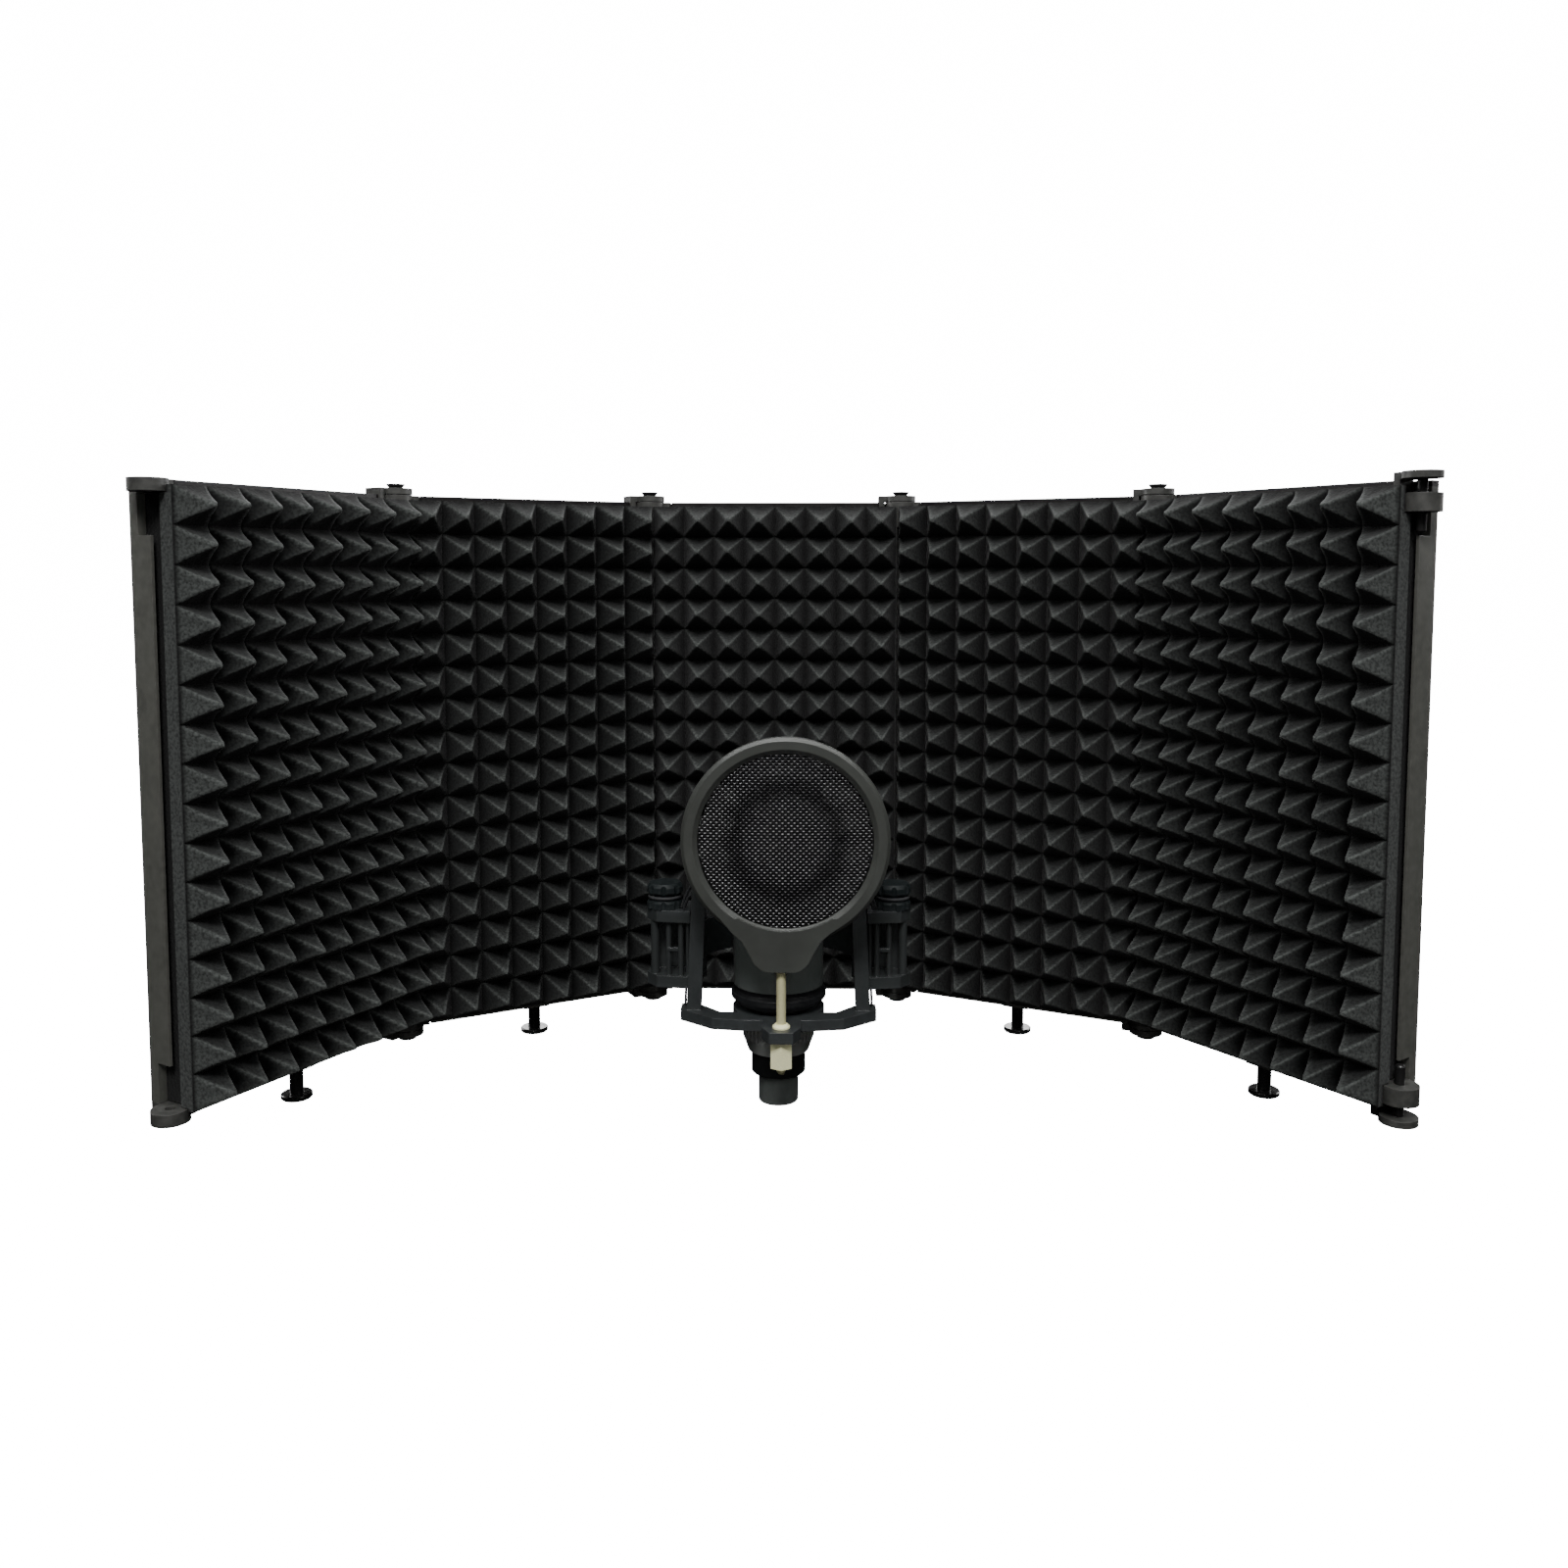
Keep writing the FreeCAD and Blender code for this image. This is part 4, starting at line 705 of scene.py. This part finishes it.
def block(low, high):
    """Points and faces of a box between two corners."""
    corners = [Vector((x, y, z))
               for z in (low.z, high.z) for y in (low.y, high.y) for x in (low.x, high.x)]
    return corners, [(0, 2, 3, 1), (4, 5, 7, 6), (0, 1, 5, 4), (2, 6, 7, 3), (0, 4, 6, 2), (1, 3, 7, 5)]


def round_notch(axis_x, side, height, low_z, back):
    """Room for a round knuckle and the leaf behind it, at a free end; side is 1 at the left end."""
    points = []
    arc = 24
    for level in (low_z, low_z + height):
        outline = [(axis_x + side * NOTCH_LEAF, back), (axis_x + side * NOTCH_LEAF, -NOTCH_FRONT)]
        start = math.asin(NOTCH_FRONT / NOTCH_RADIUS)
        for step in range(arc + 1):
            angle = start + (math.pi - start) * step / arc
            outline.append((axis_x + side * NOTCH_RADIUS * math.cos(angle), -NOTCH_RADIUS * math.sin(angle)))
        outline.append((axis_x - side * NOTCH_RADIUS, back))
        points += [Vector((x, y, level)) for x, y in outline]
    count = len(points) // 2
    faces = [tuple(range(count)), tuple(reversed(range(count, 2 * count)))]
    for index in range(count):
        following = (index + 1) % count
        faces.append((index, index + count, following + count, following))
    if side < 0:
        faces = [tuple(reversed(face)) for face in faces]
    return points, faces


def cut_pockets(tile, panel, width, back):
    """Take out the room for the hinges at all four corners, and for the foot boss."""
    overlap = 0.01
    depth = back + overlap
    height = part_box(panel + "_frame")[1].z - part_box(panel + "_frame")[0].z
    parts = []
    for axis_x, side, free, room in ((0, 1, panel == "far_left", EAR_ROOM),
                                     (width, -1, panel == "far_right", FORK_ROOM)):
        for low_z, level in ((-overlap, -overlap), (height - POCKET.z, height - room)):
            if free:
                parts.append(round_notch(axis_x, side, room + overlap, level, depth))
            else:
                near = axis_x - side * overlap
                far = axis_x + side * POCKET.x
                parts.append(block(Vector((min(near, far), -POCKET.y, low_z)),
                                   Vector((max(near, far), depth, low_z + POCKET.z + overlap))))
    middle = width / 2
    parts.append(block(Vector((middle - FOOT_POCKET.x / 2, -FOOT_POCKET.y, -overlap)),
                       Vector((middle + FOOT_POCKET.x / 2, depth, FOOT_POCKET.z))))
    cutter = mesh_piece("pocket_cutter", *join(parts), smooth=False)
    modifier = tile.modifiers.new("pockets", "BOOLEAN")
    modifier.operation = "DIFFERENCE"
    modifier.solver = "EXACT"
    modifier.object = cutter
    apply_modifiers(tile)
    bpy.data.objects.remove(cutter)


def apply_modifiers(piece):
    """Turn the piece's modifiers into mesh."""
    graph = bpy.context.evaluated_depsgraph_get()
    mesh = bpy.data.meshes.new_from_object(piece.evaluated_get(graph))
    piece.modifiers.clear()
    piece.data = mesh


def make_foam():
    """The five foam tiles, each on its own panel."""
    for panel, (width, matrix) in panel_frames().items():
        rng = random.Random(415 + PANELS.index(panel))
        tile = foam_tile(panel, width, matrix, rng)
        paint(tile, "acoustic_foam")
        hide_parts(panel + "_foam")
        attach(tile, panel)


# ------------------------------------------------------------------ woven mesh of the pop filter

WARP_PITCH = 1.53 * MM      # from one upright wire to the next
WEFT_PITCH = 1.43 * MM      # from one level wire to the next
WEAVE_WIRE = 0.36 * MM      # half of a wire's thickness
WEAVE_CROWN = 0.34 * MM     # how far a wire goes over or under the others
WARP_PAINTED_HIGHLIGHT = 0.12            # painted highlight on the upright wires' crowns, next to the level wires'
BACK_PAINTED_SHADE = 0.08            # painted shade of the back sheet, next to the front one
FRONT_DOME = 2.6 * MM
BACK_DOME = 1.5 * MM
RING_SHARE = 0.60           # where the painted dark ring of shade lies, as a share of the radius
RING_WIDTH = 0.13
RING_DEPTH = 0.66
TOP_SHADE = 0.35            # how much darker the top edge is, a painted shadow


def woven_disc(radius, dish):
    """Plain-weave disc about Z, dished by a function of the radius: (points, faces) and tones, which are
    painted highlights on the wires' crowns and painted shade where they go under.
    """
    parts = []
    tones = []
    sides = 5
    for level_wires, pitch, crossing in ((True, WEFT_PITCH, WARP_PITCH), (False, WARP_PITCH, WEFT_PITCH)):
        count = int(radius / pitch)
        for number in range(-count, count + 1):
            offset = number * pitch
            reach = math.sqrt(max(radius ** 2 - offset ** 2, 0))
            steps = 2 * int(reach / crossing)
            if steps < 4:
                continue
            path = []
            for step in range(-steps, steps + 1):
                along = step * crossing / 2
                crown = math.cos(math.pi * (along / crossing + number + (0 if level_wires else 1)))
                lift = dish(math.hypot(along, offset)) + WEAVE_CROWN * crown
                path.append(Vector((along, offset, lift)) if level_wires else Vector((offset, along, lift)))
                # Painted highlight on each crown, painted shade where the wire goes under.
                tones += [max(crown, 0) ** 1.5 * (1.0 if level_wires else WARP_PAINTED_HIGHLIGHT)] * sides
            parts.append(tube(path, WEAVE_WIRE, sides))
    return join(parts), tones


def pop_filter_matrix():
    """From a disc about Z to the pop filter: its middle, facing the speaker."""
    low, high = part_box("pop_mesh")
    middle = (low + high) / 2
    return Matrix.Translation(middle) @ Matrix.Rotation(math.radians(90), 4, "X")


def make_pop_mesh():
    """Front and back sheets of woven wire, each domed outwards, with painted shade (a dark ring and a darker
    top edge) and painted highlights in their tone.
    """
    low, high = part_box("pop_mesh")
    radius = (high.x - low.x) / 2
    half_depth = (high.y - low.y) / 2 - 0.5 * MM
    matrix = pop_filter_matrix()

    def front_dish(distance):
        share = min(distance / radius, 1)
        return half_depth + FRONT_DOME * (1 - share ** 2)

    def back_dish(distance):
        share = min(distance / radius, 1)
        return -half_depth - BACK_DOME * (1 - share ** 2)

    # Painted shade: a dark ring and a darker top edge.
    def shading(place):
        share = math.hypot(place.x, place.y) / radius
        ring = RING_DEPTH * math.exp(-((share - RING_SHARE) / RING_WIDTH) ** 2)
        return 1 - ring - TOP_SHADE * max(place.y / radius, 0) ** 2

    parts = []
    tones = []
    for strength, dish in ((1.0, front_dish), (BACK_PAINTED_SHADE, back_dish)):
        wires, crowns = woven_disc(radius - 0.2 * MM, dish)
        parts.append(wires)
        tones += [strength * shading(place) * crown for place, crown in zip(wires[0], crowns)]
    piece = mesh_piece("pop_filter_weave", *join(parts))
    piece.data.attributes.new("tone", "FLOAT", "POINT").data.foreach_set("value", tones)
    piece.data.transform(matrix)
    paint(piece, "pop_mesh")
    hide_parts("pop_mesh")
    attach(piece, "pop_filter")


# ------------------------------------------------------------------ microphone grille

def grille_profile(radius, bottom, top, dome):
    """Points (radius, height) up the grille's side and over its domed top."""
    pitch = 1.3 * MM
    side = int((top - dome - bottom) / pitch)
    points = [(radius, bottom + pitch * (step + 0.5)) for step in range(side)]
    arc = 18
    for step in range(arc):
        angle = math.pi / 2 * step / arc
        points.append((radius * math.cos(angle), top - dome + dome * math.sin(angle)))
    return points


GRILLE_WIRES = 108
GRILLE_WIRE = 0.25 * MM     # half of a wire's thickness
GRILLE_CROWN = 0.2 * MM
GRILLE_DOME = 14 * MM
GRILLE_THIN_SHARE = 0.55    # of the radius, inside which only every second upright wire goes on
GRILLE_HOLE = 3 * MM        # no wires nearer to the middle of the dome


def make_grille_weave():
    """Woven wire over the grille's solid lining."""
    low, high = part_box("mic_grille")
    centre = (low + high) / 2
    radius = (high.x - low.x) / 2 - 0.1 * MM
    profile = grille_profile(radius, low.z, high.z - 0.5 * MM, GRILLE_DOME)
    parts = []
    for level, (reach, height) in enumerate(profile):
        if reach < GRILLE_HOLE:
            continue
        count = GRILLE_WIRES if reach > radius * GRILLE_THIN_SHARE else GRILLE_WIRES // 2
        path = []
        for step in range(count * 2):
            angle = math.pi * step / count
            own = reach + GRILLE_CROWN * math.cos(math.pi * (step / 2 + level))
            path.append(Vector((centre.x + own * math.cos(angle), centre.y + own * math.sin(angle), height)))
        parts.append(tube(path, GRILLE_WIRE, 4, closed=True))
    for number in range(GRILLE_WIRES):
        angle = 2 * math.pi * number / GRILLE_WIRES
        path = []
        for level, (reach, height) in enumerate(profile):
            if reach < (radius * GRILLE_THIN_SHARE if number % 2 else GRILLE_HOLE):
                break
            own = reach - GRILLE_CROWN * math.cos(math.pi * (number + level))
            path.append(Vector((centre.x + own * math.cos(angle), centre.y + own * math.sin(angle), height)))
        parts.append(tube(path, GRILLE_WIRE, 4))
    piece = mesh_piece("mic_grille_weave", *join(parts))
    paint(piece, "grille_mesh")
    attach(piece, "cradle")


# ------------------------------------------------------------------ elastic bands

BRAID_RADIUS = 0.78 * MM
BRAID_RELIEF = 0.12 * MM
BRAID_SIDES = 12
WOUND_RADIUS = 0.9 * MM     # of the elastic that lies round a spool

# Three points of each band on the right, in millimetres: across, back from the microphone's axis, and up.
UPPER_BANDS = (((53.4, 7.2, 104), (50.8, 4.2, 113), (46.4, 0.4, 119.4)),
               ((51.8, 3.4, 104), (50.4, 1.2, 109.5), (47.8, -1, 113)))
LOWER_BAND = ((50.5, -0.6, 61.8), (50.7, -2.4, 57.5), (50.6, -4.5, 53.6))
SPOOL_AXIS = (63, 13)       # across and back
WINDING_INSET = 1.2 * MM    # how far inside a spool's rim, and how far up it, the elastic is wound
WINDING_HEIGHT = 6.2 * MM
WINDING_STEPS = 32


def braided(path_points):
    """Tube along a smooth line through a few points, with the strands of a braid standing proud."""
    fine = []
    count = 40
    a, b, c = path_points
    for step in range(count + 1):
        share = step / count
        fine.append(a * (1 - share) ** 2 + 2 * b * share * (1 - share) + c * share ** 2)
    points, faces = tube(fine, BRAID_RADIUS, BRAID_SIDES)
    for index in range(len(fine)):
        for side in range(BRAID_SIDES):
            spot = index * BRAID_SIDES + side
            turn = side * math.pi / 3 * 2
            wave = math.cos(turn + index * 0.9) * math.cos(turn - index * 0.9)
            points[spot] += (points[spot] - fine[index]).normalized() * BRAID_RELIEF * wave
    return points, faces


def make_bands():
    """Elastic bands from the spools to the uprights, which stretch as the cradle moves."""
    mic_low, mic_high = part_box("mic_body")
    anchor_low, anchor_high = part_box("band_anchors")
    anchor_radius = (anchor_high.y - anchor_low.y) / 2
    mic_y = (mic_low.y + mic_high.y) / 2
    upper = []
    lower = []
    wound = anchor_radius - WINDING_INSET
    for side in (-1, 1):
        def at(x, y, z):
            return Vector((side * x * MM, mic_y + y * MM, z * MM))

        for band in UPPER_BANDS:
            upper.append(braided([at(*place) for place in band]))
        ring = []
        for step in range(WINDING_STEPS):
            angle = 2 * math.pi * step / WINDING_STEPS
            ring.append(at(*SPOOL_AXIS, 0) + Vector((wound * math.cos(angle), wound * math.sin(angle),
                                                     anchor_low.z + WINDING_HEIGHT)))
        upper.append(tube(ring, WOUND_RADIUS, 8, closed=True))
        lower.append(braided([at(*place) for place in LOWER_BAND]))
    top = mesh_piece("upper_bands", *join(upper))
    paint(top, "elastic_cord")
    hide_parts("elastic_bands")
    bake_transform(top, "yoke", "cradle", start=(0, 0, 0.106), end=(0, 0, 0.117))
    bottom = mesh_piece("lower_bands", *join(lower))
    paint(bottom, "elastic_cord")
    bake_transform(bottom, "yoke", "cradle", start=(0, 0, 0.061), end=(0, 0, 0.054))


# ------------------------------------------------------------------ assembly

MATERIALS = make_materials()
make_camera()
make_stage()
paint_cad_nodes()
make_foam()
make_pop_mesh()
make_grille_weave()
make_bands()
